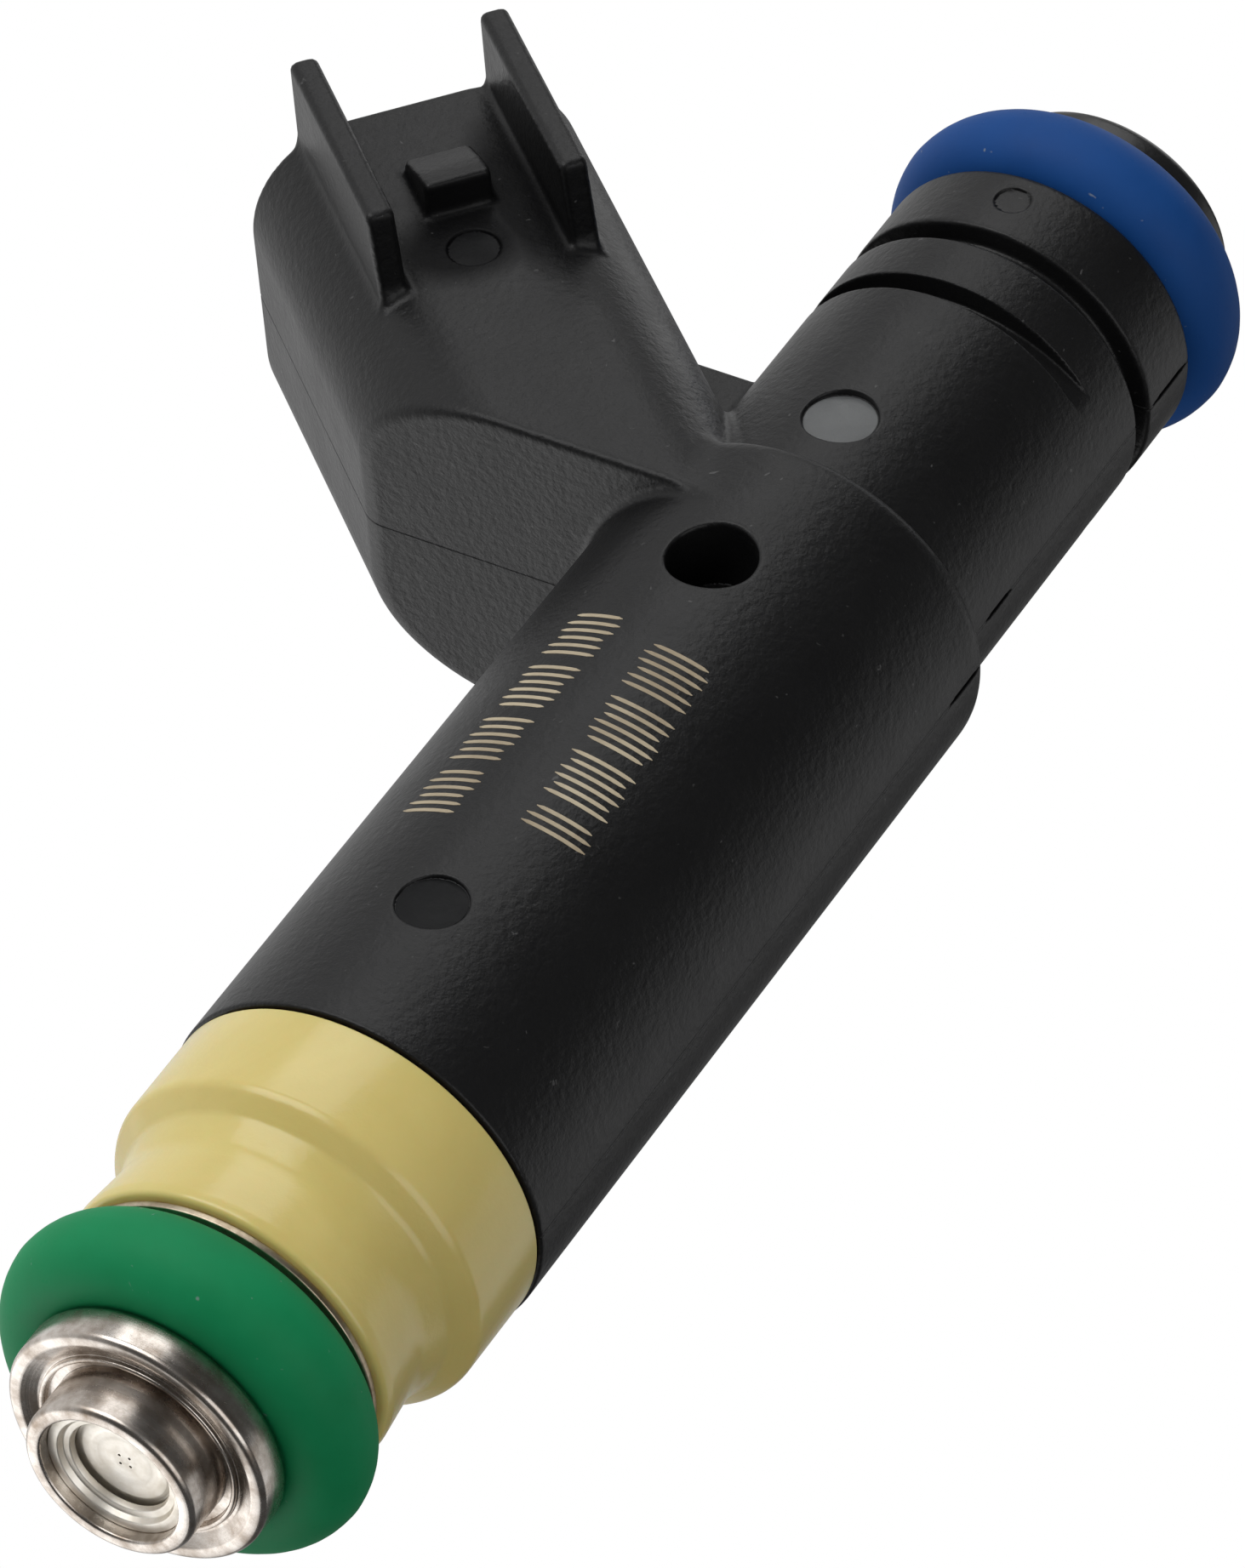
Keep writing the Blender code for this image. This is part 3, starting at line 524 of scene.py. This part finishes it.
def moulded(name, dark, light, roughness, grain=9000, depth=0.000004, scuffs=0.07, dust=0.0, **more):
    """Moulded plastic: a grain, faint flow marks in the colour, a few scuffs in the gloss, some dust."""
    n = Finish(name)
    flow = n.noise(160, 4.0, 0.6, distortion=0.8)
    fine = n.noise(grain, 2.0, 0.6)
    coarse = n.noise(grain / 3, 3.0, 0.6)
    patches = n.noise(420, 5.0, 0.65)
    colour = n.mix(n.spread(flow, 0.3, 0.7, 0, 1), dark, light)
    if dust:
        specks = n.noise(3600, 1.0, 0.4, distortion=0.6)
        colour = n.mix(n.spread(specks, 0.76, 0.82, 0, 1), colour, rgb(dust, dust, dust))
    n.set(Base_Color=colour)
    base = n.spread(patches, 0.3, 0.75, roughness * (1 - scuffs), roughness * (1 + scuffs))
    n.set(Roughness=n.math("ADD", base, n.spread(fine, 0.2, 0.8, -0.03, 0.03)))
    normal = n.bump(coarse, depth * 6)
    n.set(Normal=n.bump(fine, depth, normal=normal), **more)
    return n


def rubber(name, dark, light):
    """Moulded rubber: nearly smooth, with a slight bloom and specks of dust."""
    n = Finish(name)
    bloom = n.noise(330, 4.0, 0.6)
    specks = n.noise(5200, 2.0, 0.5)
    fine = n.noise(12000, 2.0, 0.6)
    colour = n.mix(n.spread(bloom, 0.3, 0.75, 0, 1), dark, light)
    fleck = n.spread(n.noise(2600, 1.0, 0.4, distortion=0.5), 0.77, 0.82, 0, 0.6)
    n.set(Base_Color=n.mix(fleck, colour, rgb(0.3, 0.34, 0.36)))
    dusty = n.spread(specks, 0.62, 0.75, 0, 0.12)
    n.set(Roughness=n.math("ADD", n.spread(bloom, 0.3, 0.7, 0.55, 0.67), dusty))
    n.set(Normal=n.bump(fine, 0.0000025, normal=n.bump(bloom, 0.00001)), Specular_IOR_Level=0.16)
    return n


def turned_metal(name, dark, light, roughness, depth=0.0000012, stains=0.3):
    """Turned metal: fine tool marks round the axis, faint stains and small scratches."""
    n = Finish(name)
    place = n.turned_place()
    marks = n.noise(16000, 2.0, 0.6, vector=place)
    bands = n.noise(2600, 3.0, 0.6, vector=place)
    stain = n.noise(900, 5.0, 0.65)
    scratch = n.noise(3000, 2.0, 0.6, distortion=3.0)
    colour = n.mix(n.spread(stain, 0.35, 0.7, 0, 1), light, dark)
    n.set(Base_Color=colour, Metallic=1.0)
    gloss = n.spread(bands, 0.3, 0.7, roughness * 0.8, roughness * 1.25)
    gloss = n.math("ADD", gloss, n.spread(stain, 0.45, 0.8, 0, stains * 0.35))
    n.set(Roughness=n.math("ADD", gloss, n.spread(scratch, 0.68, 0.72, 0, 0.08)))
    n.set(Normal=n.bump(marks, depth, normal=n.bump(bands, depth * 3)))
    return n


# Painted shade: the black plastic's reflection is turned down in a patch between the fins and on rear faces
# above the shroud.
PAINTED_SHADE_PATCHES = (((22.6, 2.1), (4.0, 1.3)), ((21.0, -0.6), (1.9, 2.6)))  # middle (a, w) and half sizes
PAINTED_SHADE_Y = (6.2, 6.6, 7.2, 7.7)
PAINTED_SHADE_REAR_Y = (7.0, 7.3)


def painted_shade(n):
    """How much painted shade a place gets, 0 to 1: a patch between the fins, and rear faces above the
    shroud, where shade falls.
    """
    places = []
    for direction in ((TILT_COS, 0, TILT_SIN), (-TILT_SIN, 0, TILT_COS)):
        root = ROOT_Z * direction[2] * MM
        places.append(n.math("SUBTRACT", n.dot(n.place, direction), root))
    shares = []
    for centre, halves in PAINTED_SHADE_PATCHES:
        terms = []
        for place, middle, half in zip(places, centre, halves):
            offset = n.math("DIVIDE", n.math("SUBTRACT", place, middle * MM), half * MM)
            terms.append(n.math("MULTIPLY", offset, offset))
        shares.append(n.spread(n.math("ADD", *terms), 0.4, 1.6, 1, 0))
    split = n.add("ShaderNodeSeparateXYZ")
    n.put(split.inputs[0], n.place)
    height = split.outputs[1]
    above = n.spread(height, PAINTED_SHADE_Y[0] * MM, PAINTED_SHADE_Y[1] * MM, 0, 1)
    below = n.spread(height, PAINTED_SHADE_Y[2] * MM, PAINTED_SHADE_Y[3] * MM, 1, 0)
    patch = n.math("MULTIPLY", n.math("MAXIMUM", *shares), n.math("MULTIPLY", above, below))
    normal = n.add("ShaderNodeTexCoord").outputs["Normal"]
    facing = n.spread(n.dot(normal, (-TILT_COS, 0, -TILT_SIN)), 0.75, 0.9, 0, 1)
    rear = n.math("MULTIPLY", facing, n.spread(height, PAINTED_SHADE_REAR_Y[0] * MM, PAINTED_SHADE_REAR_Y[1] * MM, 0, 1))
    return n.math("MAXIMUM", patch, rear)


BLACK = moulded(
    "black_nylon", rgb(0.0050, 0.0050, 0.0054), rgb(0.0075, 0.0075, 0.0078), 0.42, depth=0.000006, dust=0.06
)
# Painted shade: the black plastic's reflection drops from 0.3 to 0.05 where the mask above puts shade.
BLACK.set(Specular_IOR_Level=BLACK.spread(painted_shade(BLACK), 0, 1, 0.3, 0.05))
BLACK_SMOOTH = moulded(
    "black_nylon_smooth", rgb(0.007, 0.007, 0.0075), rgb(0.011, 0.011, 0.0115), 0.34,
    depth=0.000002, dust=0.05,
)
# Painted reflection: the neck pin mark is lighter grey than the black plastic, standing in for light
# reflected by its flat floor.
DISC_PAINTED_SHEEN = moulded("pin_mark_painted_sheen", rgb(0.07, 0.074, 0.075), rgb(0.125, 0.13, 0.132), 0.5, scuffs=0.2)
DISC_DARK = moulded(
    "pin_mark_dark", rgb(0.004, 0.004, 0.0045), rgb(0.006, 0.0065, 0.007), 0.5,
    scuffs=0.2, Specular_IOR_Level=0.12,
)
CREAM = moulded(
    "cream_plastic", rgb(0.67, 0.54, 0.178), rgb(0.73, 0.60, 0.215), 0.22, grain=7000, depth=0.000002,
    Subsurface_Weight=0.15, Subsurface_Scale=0.0015, Specular_IOR_Level=0.48,
)
GREEN = rubber("green_rubber", rgb(0.005, 0.225, 0.078), rgb(0.009, 0.265, 0.098))
BLUE = rubber("blue_rubber", rgb(0.006, 0.056, 0.225), rgb(0.010, 0.070, 0.265))
BROWN = rubber("brown_rubber", rgb(0.06, 0.028, 0.015), rgb(0.09, 0.04, 0.02))
BRIGHT = turned_metal("bright_steel", rgb(0.30, 0.24, 0.19), rgb(0.72, 0.67, 0.62), 0.24, stains=0.25)
WASHER = turned_metal("washer_steel", rgb(0.26, 0.19, 0.12), rgb(0.62, 0.54, 0.42), 0.34)
PLATE = turned_metal("spray_plate_steel", rgb(0.78, 0.72, 0.62), rgb(0.95, 0.91, 0.84), 0.42)
STEEL = turned_metal("grey_steel", rgb(0.30, 0.30, 0.31), rgb(0.50, 0.50, 0.50), 0.32)
TIN = turned_metal("tinned_brass", rgb(0.55, 0.50, 0.36), rgb(0.76, 0.72, 0.60), 0.26)
COPPER = turned_metal("copper_wire", rgb(0.48, 0.16, 0.06), rgb(0.72, 0.32, 0.16), 0.32)
BOBBIN = moulded("bobbin_nylon", rgb(0.22, 0.19, 0.15), rgb(0.30, 0.27, 0.22), 0.5)
FILTER = moulded("filter_nylon", rgb(0.62, 0.60, 0.52), rgb(0.74, 0.72, 0.64), 0.6)
MARKING = moulded("marking_tan", rgb(0.24, 0.18, 0.11), rgb(0.55, 0.47, 0.33), 0.6, scuffs=0.2)

# ---- visible pieces
piece("overmold", overmold_mesh(), BLACK, "black_nylon", "overmold_housing")

BAR_STEPS = 10
BAR_HALF_WIDTH = 0.1
BAR_RADII = (BARREL_RADIUS - 0.05, BARREL_RADIUS + 0.012)
BAR_GROUP = 7


def bar_row(name, turns, heights, count, length):
    """A row of plain raised bars on the barrel, each one running round it, in place of printing."""
    low, high = BAR_RADII
    points = []
    faces = []
    for i in range(count):
        if i % BAR_GROUP == BAR_GROUP - 1:
            continue
        share = i / (count - 1)
        middle = math.radians(turns[0] + (turns[1] - turns[0]) * share)
        z = heights[0] + (heights[1] - heights[0]) * share
        reach = length / 2 / BARREL_RADIUS * (1.0 if i % 3 else 0.86)
        base = len(points)
        for step in range(BAR_STEPS + 1):
            along = step / BAR_STEPS * 2 - 1
            angle = middle + along * reach
            half = BAR_HALF_WIDTH * math.sqrt(max(1 - abs(along) ** 8, 0.04))
            for r, across in ((low, -half), (high, -half * 0.8), (high, half * 0.8), (low, half)):
                points.append((r * math.cos(angle), r * math.sin(angle), z + across))
        for step in range(BAR_STEPS):
            here = base + step * 4
            for k in range(4):
                after = (k + 1) % 4
                faces.append((here + k, here + after, here + 4 + after, here + 4 + k))
        faces.append((base + 3, base + 2, base + 1, base))
        last = base + BAR_STEPS * 4
        faces.append((last, last + 1, last + 2, last + 3))
    return piece(name, mesh_of(name, points, faces), MARKING, "filter_nylon")


bar_row("marking_row_left", (73, 68), (31.4, 20.4), 28, 2.2)
bar_row("marking_row_right", (102.5, 105.5), (30.7, 21.4), 24, 2.5)


RING_RADIUS = 5.1
CORD_RADIUS = 1.8
FLASH_HEIGHT = 0.015
UPPER_RING_Z = 60.65


def o_ring(name, z, finish, slot, node):
    """A torus with a faint flash line round its outermost circle."""
    outline = []
    for step in range(48):
        angle = math.tau * step / 48
        flash = FLASH_HEIGHT * math.exp(-((math.remainder(angle, math.tau) / 0.09) ** 2))
        section = CORD_RADIUS + flash
        outline.append((RING_RADIUS + section * math.cos(angle), z + section * math.sin(angle)))
    piece(name, lathe(name, outline, 192), finish, slot, node)


o_ring("lower_seal", 0.0, GREEN, "green_rubber", "lower_o_ring")
o_ring("upper_seal", UPPER_RING_Z, BLUE, "blue_rubber", "upper_o_ring")

spacer = filleted(
    [
        (7.02, 10.55, 0.12),
        (7.02, 6.75, 0.55),
        (6.25, 6.1, 0.5),
        (5.93, 4.9, 1.6),
        (6.16, 2.7, 0.5),
        (6.1, 2.25, 0.2),
        (5.2, 2.25, 0.0),
        (5.2, 10.55, 0.0),
    ]
)
piece("cream_spacer", lathe("cream_spacer", spacer), CREAM, "cream_plastic", "spacer_collar")

washer = filleted([(5.85, 2.17, 0.06), (5.85, 1.9, 0.06), (3.21, 1.9, 0.0), (3.21, 2.17, 0.0)])
piece("seal_washer", lathe("seal_washer", washer), WASHER, "bright_steel", "backup_washer")

tip_ring = filleted(
    [
        (4.8, -1.9, 0.05),
        (4.87, -2.05, 0.05),
        (4.87, -3.3, 0.45),
        (4.38, -3.3, 0.2),
        (3.85, -3.02, 0.25),
        (3.74, -3.0, 0.03),
        (3.72, -3.2, 0.07),
        (3.55, -3.2, 0.07),
        (3.52, -2.9, 0.03),
        (3.21, -2.9, 0.0),
        (3.21, -1.9, 0.0),
    ]
)
piece("tip_ring", lathe("tip_ring", tip_ring), BRIGHT, "bright_steel", "nozzle_ring")

tip_tube = filleted(
    [
        (5.1, 12.1, 0.1),
        (5.1, 2.25, 0.1),
        (3.2, 2.25, 0.1),
        (3.2, -4.95, 0.24),
        (2.6, -4.95, 0.12),
        (2.6, 1.5, 0.1),
        (3.05, 2.2, 0.1),
        (3.05, 9.9, 0.0),
        (3.45, 9.9, 0.0),
        (3.45, 12.1, 0.0),
    ]
)
piece("tip_tube", lathe("tip_tube", tip_tube), BRIGHT, "bright_steel", "valve_body")

insert = filleted(
    [
        (2.595, -4.0, 0.0),
        (2.595, -4.48, 0.05),
        (2.22, -4.48, 0.06),
        (2.12, -4.25, 0.06),
        (1.88, -4.25, 0.06),
        (1.8, -4.0, 0.04),
    ]
)
piece("tip_insert", lathe("tip_insert", insert), PLATE, "bright_steel", "seat_backup_ring")

cap = filleted(
    [
        (4.95, 64.1, 0.45),
        (4.95, 62.55, 0.25),
        (3.3, 62.55, 0.0),
        (3.3, 63.8, 0.0),
        (2.75, 63.8, 0.05),
        (2.75, 64.1, 0.15),
    ]
)
piece("inlet_cap", lathe("inlet_cap", cap), BLACK_SMOOTH, "black_nylon", "inlet_retainer")

TOWARDS_Y = Matrix(((1, 0, 0, 0), (0, 0, 1, 0), (0, -1, 0, 0), (0, 0, 0, 1)))


def pin_disc(name, x, z, floor, radius, finish):
    """The flat end that a mould pin leaves, on the floor of its recess in the +Y side."""
    outline = filleted([(radius, 0.01, 0.01), (radius, -0.2, 0), (0.01, -0.2, 0), (0.01, 0.0, 0)])
    disc = lathe(name, outline, 96)
    disc.transform(Matrix.Translation(Vector((x, floor, z)) * MM) @ TOWARDS_Y)
    piece(name, disc, finish, "black_nylon")


def disc_place(mark):
    """(x, z, y of the floor) of a round mark."""
    x, z, _, floor, _ = mark
    return x, z, floor


# The neck pin disc takes the grey finish, a painted reflection of its flat floor.
pin_disc("neck_pin_disc", *disc_place(NECK_MARK), 1.3, DISC_PAINTED_SHEEN)
pin_disc("barrel_pin_disc", *disc_place(BARREL_MARK), 1.22, DISC_DARK)
pin_disc("shroud_pin_disc", *in_plane(*SHROUD_MARK_PLACE), SHROUD_MARK_FLOOR, 0.93, DISC_DARK)


def cut(mesh, *cutters):
    """The mesh with these meshes taken out of it."""
    target = bpy.data.objects.new("target", mesh)
    bpy.context.scene.collection.objects.link(target)
    others = []
    for cutter in cutters:
        other = bpy.data.objects.new("cutter", cutter)
        bpy.context.scene.collection.objects.link(other)
        modifier = target.modifiers.new("cut", "BOOLEAN")
        modifier.operation = "DIFFERENCE"
        modifier.object = other
        others.append(other)
    bpy.context.view_layer.update()
    made = bpy.data.meshes.new_from_object(target.evaluated_get(bpy.context.evaluated_depsgraph_get()))
    made.name = mesh.name
    for obj in [target, *others]:
        bpy.data.objects.remove(obj)
    made.shade_smooth()
    made.set_sharp_from_angle(angle=math.radians(35))
    return made


def bar_between(name, first, second):
    """A closed bar between two outlines with the same number of points."""
    count = len(first)
    faces = [(i, (i + 1) % count, count + (i + 1) % count, count + i) for i in range(count)]
    faces += [tuple(range(count))[::-1], tuple(range(count, 2 * count))]
    return mesh_of(name, [*first, *second], faces)


def rod(radius, low, high, u, v):
    """A plain upright rod, for cutting."""
    angles = [math.tau * i / 24 for i in range(24)]
    ends = [[(u + radius * math.cos(t), v + radius * math.sin(t), z) for t in angles] for z in (low, high)]
    return bar_between("rod", *ends)


SPRAY_CIRCLE = 0.27
SPRAY_HOLE_RADIUS = 0.055
spray_plate = filleted(
    [
        (2.5, -3.7, 0.0),
        (2.5, -3.86, 0.04),
        (1.75, -3.86, 0.05),
        (1.6, -3.9, 0.05),
        (0.005, -3.9, 0.0),
        (0.005, -3.7, 0.0),
    ]
)
spray_plate = lathe("spray_plate", spray_plate, 128)
spray_holes = [
    rod(SPRAY_HOLE_RADIUS, -4.5, -3.2, SPRAY_CIRCLE * math.cos(t), SPRAY_CIRCLE * math.sin(t))
    for t in (math.tau * (i + 0.5) / 4 for i in range(4))
]
piece("spray_plate", cut(spray_plate, *spray_holes), PLATE, "bright_steel", "orifice_plate")

tube = filleted(
    [
        (3.2, 63.7, 0.15),
        (3.2, 20.1, 0.0),
        (3.05, 20.1, 0.0),
        (3.05, 33.1, 0.0),
        (2.5, 33.5, 0.0),
        (2.5, 63.7, 0.15),
    ]
)
piece("fuel_tube", lathe("fuel_tube", tube, 128), BRIGHT, "bright_steel", "inlet_tube")


# ---- terminals
def terminal(name, leg_x, leg_top, w):
    """A narrow leg, a bend and a wide blade with a coined tip, through eight-sided sections."""
    stations = [  # (x, z), half width, half thickness
        (Vector((leg_x, 29.3)), 0.18, 0.3),
        (Vector((leg_x, leg_top - 0.5)), 0.18, 0.32),
        (Vector((leg_x, leg_top)).lerp(in_plane(14.0, w), 0.06), 0.18, 0.32),
        (in_plane(13.3, w), 0.18, 0.32),
        (in_plane(13.8, w), 0.75, 0.32),
        (in_plane(22.6, w), 0.75, 0.32),
        (in_plane(22.7, w), 0.74, 0.3),
        (in_plane(23.6, w), 0.55, 0.14),
        (in_plane(24.0, w), 0.42, 0.1),
    ]
    points = []
    for i, (place, half_width, half_thick) in enumerate(stations):
        before = stations[max(i - 1, 0)][0]
        after = stations[min(i + 1, len(stations) - 1)][0]
        along = (after - before).normalized()
        across = Vector((-along.y, along.x))
        edge = min(0.07, half_thick * 0.5)
        for u, v in ((1, -1), (1, 1), (-1, 1), (-1, -1)):
            for du, dv in ((0, edge), (edge, 0)) if u * v < 0 else ((edge, 0), (0, edge)):
                spot = place + across * u * (half_width - du)
                points.append((spot.x, v * (half_thick - dv), spot.y))
    faces = []
    for i in range(len(stations) - 1):
        for k in range(8):
            after = (k + 1) % 8
            faces.append((i * 8 + k, i * 8 + after, i * 8 + 8 + after, i * 8 + 8 + k))
    faces += [tuple(range(8))[::-1], tuple(range(len(points) - 8, len(points)))]
    piece(f"{name}_blade", facing_out(mesh_of(name, points, faces, 25)), TIN, "tinned_brass", name)


terminal("terminal_upper", 4.18, 42.6, BLADE_W)
terminal("terminal_lower", 4.9, 39.2, -BLADE_W)


# ---- fuel filter: a cage with windows round a woven screen
FILTER_Z = (54.5, 63.4)
SCREEN_Z = (54.85, 62.4)
SCREEN_RADIUS = 1.45
SCREEN_WAVE = 0.035
THREAD_RADIUS = 0.04
WINDOW_Z = (55.3, 61.4)


def filter_window(turn):
    """A bar with rounded corners that cuts a pair of windows across the cage."""
    low, high = WINDOW_Z
    outline = filleted([(1.1, low, 0.35), (1.1, high, 0.35), (-1.1, high, 0.35), (-1.1, low, 0.35)])
    ends = [[(x, y, z) for y, z in outline] for x in (-4, 4)]
    mesh = facing_out(bar_between("window", *ends))
    mesh.transform(Matrix.Rotation(turn, 4, "Z"))
    return mesh


cage = filleted(
    [
        (2.4, FILTER_Z[1], 0.15),
        (2.4, FILTER_Z[0], 0.2),
        (1.65, FILTER_Z[0], 0.1),
        (1.65, FILTER_Z[1], 0.25),
    ]
)
cage = cut(lathe("filter_cage", cage, 96), filter_window(0.0), filter_window(math.pi / 2))
piece("filter_cage", cage, BOBBIN, "bobbin_nylon", "filter_frame")


def strand(points, faces, line, closed):
    """Adds a four-sided thread along a line of (turn, radius, z) to the points and faces."""
    base = len(points)
    count = len(line)
    for i, (turn, r, z) in enumerate(line):
        for k in range(4):
            bend = math.tau * k / 4
            reach = r + THREAD_RADIUS * math.cos(bend)
            aside = THREAD_RADIUS * math.sin(bend)
            if closed:
                points.append((reach * math.cos(turn), reach * math.sin(turn), z + aside))
            else:
                side = turn + aside / r
                points.append((reach * math.cos(side), reach * math.sin(side), z))
    for i in range(count if closed else count - 1):
        here = base + i * 4
        there = base + (i + 1) % count * 4
        for k in range(4):
            after = (k + 1) % 4
            quad = (here + k, here + after, there + after, there + k)
            faces.append(quad if closed else quad[::-1])
    if not closed:
        faces += [tuple(range(base, base + 4)), tuple(range(base + count * 4 - 4, base + count * 4))[::-1]]


def screen_mesh():
    """Upright threads and hoops, woven over and under each other."""
    points = []
    faces = []
    uprights = 40
    hoops = 32
    turns = [math.tau * i / uprights for i in range(uprights)]
    low, high = SCREEN_Z
    heights = [low + (high - low) * (j + 0.5) / hoops for j in range(hoops)]
    for i, turn in enumerate(turns):
        line = [(turn, SCREEN_RADIUS + SCREEN_WAVE * (-1) ** (i + j), z) for j, z in enumerate(heights)]
        strand(points, faces, line, False)
    for j, z in enumerate(heights):
        line = [(turn, SCREEN_RADIUS - SCREEN_WAVE * (-1) ** (i + j), z) for i, turn in enumerate(turns)]
        strand(points, faces, line, True)
    return mesh_of("screen_mesh", points, faces)


piece("filter_mesh", screen_mesh(), FILTER, "filter_nylon", "filter_screen")


# ---- coil
def winding_outline(inner, outer, low, high, wire):
    """A sleeve whose outside is the outermost layer of a round wire."""
    count = round((high - low) / wire)
    pitch = (high - low) / count
    outline = [(inner, high), (inner, low)]
    for i in range(count):
        for step in range(7):
            bend = -math.pi / 2 + math.pi * (step + 0.5) / 7
            r = outer - pitch / 2 + pitch / 2 * math.cos(bend)
            outline.append((r, low + pitch * (i + 0.5) + pitch / 2 * math.sin(bend)))
    return outline


def extent(node):
    """(inner radius, outer radius, low, high) of a round CAD node, in millimetres."""
    places = np.array([v.co for v in frame["nodes"][node].data.vertices]) / MM
    r = np.hypot(places[:, 0], places[:, 1])
    return r.min(), r.max(), places[:, 2].min(), places[:, 2].max()


WIRE_ACROSS = 0.24
winding = lathe("coil_wire", winding_outline(*extent("coil_winding"), WIRE_ACROSS), 96)
piece("coil_wire", winding, COPPER, "copper_wire", "coil_winding")

FINISH_OF_SLOT = {
    "black_nylon": BLACK,
    "cream_plastic": CREAM,
    "green_rubber": GREEN,
    "blue_rubber": BLUE,
    "brown_rubber": BROWN,
    "bright_steel": BRIGHT,
    "grey_steel": STEEL,
    "tinned_brass": TIN,
    "copper_wire": COPPER,
    "bobbin_nylon": BOBBIN,
    "filter_nylon": FILTER,
}
for row in frame["record"]["subparts"]:
    obj = frame["nodes"][row["node"]]
    obj.data.materials.clear()
    obj.data.materials.append(FINISH_OF_SLOT[row["material_slot"]].material)

# ---- camera
LENS_TO_WIDTH = 11820.6 / 1463  # focal length over sensor width
CAMERA_PLACE = Vector((-0.1359534, 0.2378691, -0.1786))
CAMERA_AXES = (
    (-0.86647809, -0.06430291, 0.49505643),
    (0.30222438, 0.72172350, 0.62271632),
    (-0.39733632, 0.68918817, -0.60592369),
)
camera_data = bpy.data.cameras.new("camera")
camera_data.sensor_fit = "HORIZONTAL"
camera_data.sensor_width = 36
camera_data.lens = 36 * LENS_TO_WIDTH
camera_data.clip_start = 0.01
camera_data.clip_end = 20
camera = bpy.data.objects.new("camera", camera_data)
bpy.context.scene.collection.objects.link(camera)
placing = Matrix(CAMERA_AXES).transposed().to_4x4()
placing.translation = CAMERA_PLACE
camera.matrix_world = placing
bpy.context.scene.camera = camera

# ---- studio
RIGHT, UP, BACK = (Vector(axis) for axis in CAMERA_AXES)
TARGET = Vector((0.0, 0.0, 0.030))

# name, then how far right, up and back of the target and the square's side in metres, then watts
LIGHTS = (
    ("top", 0.03, 0.55, 0.04, 0.36, 0.8),
    ("key", -0.27, 0.385, 0.373, 0.45, 2.1),
    ("right_side", 0.54, -0.09, -0.25, 0.5, 0.5),
    ("right_fill", 0.30, -0.18, 0.48, 0.5, 1.2),
    ("above", 0.27, 0.38, -0.38, 0.3, 0.36),
    ("back_fill", -0.457, -0.281, -0.268, 0.45, 0.35),
    ("low", -0.33, -0.41, -0.15, 0.5, 0.63),
)


def soft_light(name, right, up, back, side, power):
    """A square soft light that faces the target from a place along the camera's own axes."""
    data = bpy.data.lights.new(name, "AREA")
    data.shape = "SQUARE"
    data.size = side
    data.energy = power
    obj = bpy.data.objects.new(name, data)
    bpy.context.scene.collection.objects.link(obj)
    offset = RIGHT * right + UP * up + BACK * back
    obj.location = TARGET + offset
    obj.rotation_mode = "QUATERNION"
    obj.rotation_quaternion = offset.to_track_quat("Z", "Y")


for light in LIGHTS:
    soft_light(*light)

BACKDROP_GLOW = 0.8
FRONT_GLOW = 0.06
BACKDROP_FACING = (-0.75 * RIGHT + 0.2 * UP - 0.63 * BACK).normalized()
BACKDROP_EDGE = (0.1, 0.85)


def studio_world():
    """Dim all round and bright towards the backdrop, and plain white where the camera sees it."""
    world = bpy.data.worlds.new("studio")
    bpy.context.scene.world = world
    world.use_nodes = True
    nodes = world.node_tree.nodes
    links = world.node_tree.links
    facing = nodes.new("ShaderNodeVectorMath")
    facing.operation = "DOT_PRODUCT"
    facing.inputs[1].default_value = BACKDROP_FACING
    links.new(nodes.new("ShaderNodeTexCoord").outputs["Generated"], facing.inputs[0])
    glow = nodes.new("ShaderNodeMapRange")
    glow.interpolation_type = "SMOOTHSTEP"
    glow.inputs["From Min"].default_value = BACKDROP_EDGE[0]
    glow.inputs["From Max"].default_value = BACKDROP_EDGE[1]
    glow.inputs["To Min"].default_value = FRONT_GLOW
    glow.inputs["To Max"].default_value = BACKDROP_GLOW
    links.new(facing.outputs["Value"], glow.inputs["Value"])
    background = nodes["Background"]
    background.inputs["Color"].default_value = (1, 1, 1, 1)
    links.new(glow.outputs["Result"], background.inputs["Strength"])
    seen = nodes.new("ShaderNodeBackground")
    seen.inputs["Color"].default_value = (1, 1, 1, 1)
    seen.inputs["Strength"].default_value = 1.0
    choice = nodes.new("ShaderNodeMixShader")
    links.new(nodes.new("ShaderNodeLightPath").outputs["Is Camera Ray"], choice.inputs[0])
    links.new(background.outputs[0], choice.inputs[1])
    links.new(seen.outputs[0], choice.inputs[2])
    links.new(choice.outputs[0], nodes["World Output"].inputs[0])


studio_world()

FLOOR_Z = -0.9
FLOOR_HALF = 4000
floor_corners = [(u * FLOOR_HALF, v * FLOOR_HALF, 0) for u, v in ((-1, -1), (1, -1), (1, 1), (-1, 1))]
floor_mesh = mesh_of("floor", floor_corners, [(0, 1, 2, 3)])
floor_finish = Finish("pale_floor")
floor_colour = floor_finish.mix(floor_finish.noise(3), rgb(0.80, 0.80, 0.80), rgb(0.86, 0.86, 0.86))
floor_finish.set(Base_Color=floor_colour, Roughness=0.8)
floor_finish.set(Emission_Color=rgb(1, 1, 1), Emission_Strength=0.75)
floor_mesh.materials.append(floor_finish.material)
floor = bpy.data.objects.new("floor", floor_mesh)
floor.location = (0, 0, FLOOR_Z)
floor.visible_diffuse = False
floor.visible_glossy = False
bpy.context.scene.collection.objects.link(floor)

bpy.context.scene.view_settings.view_transform = "Standard"
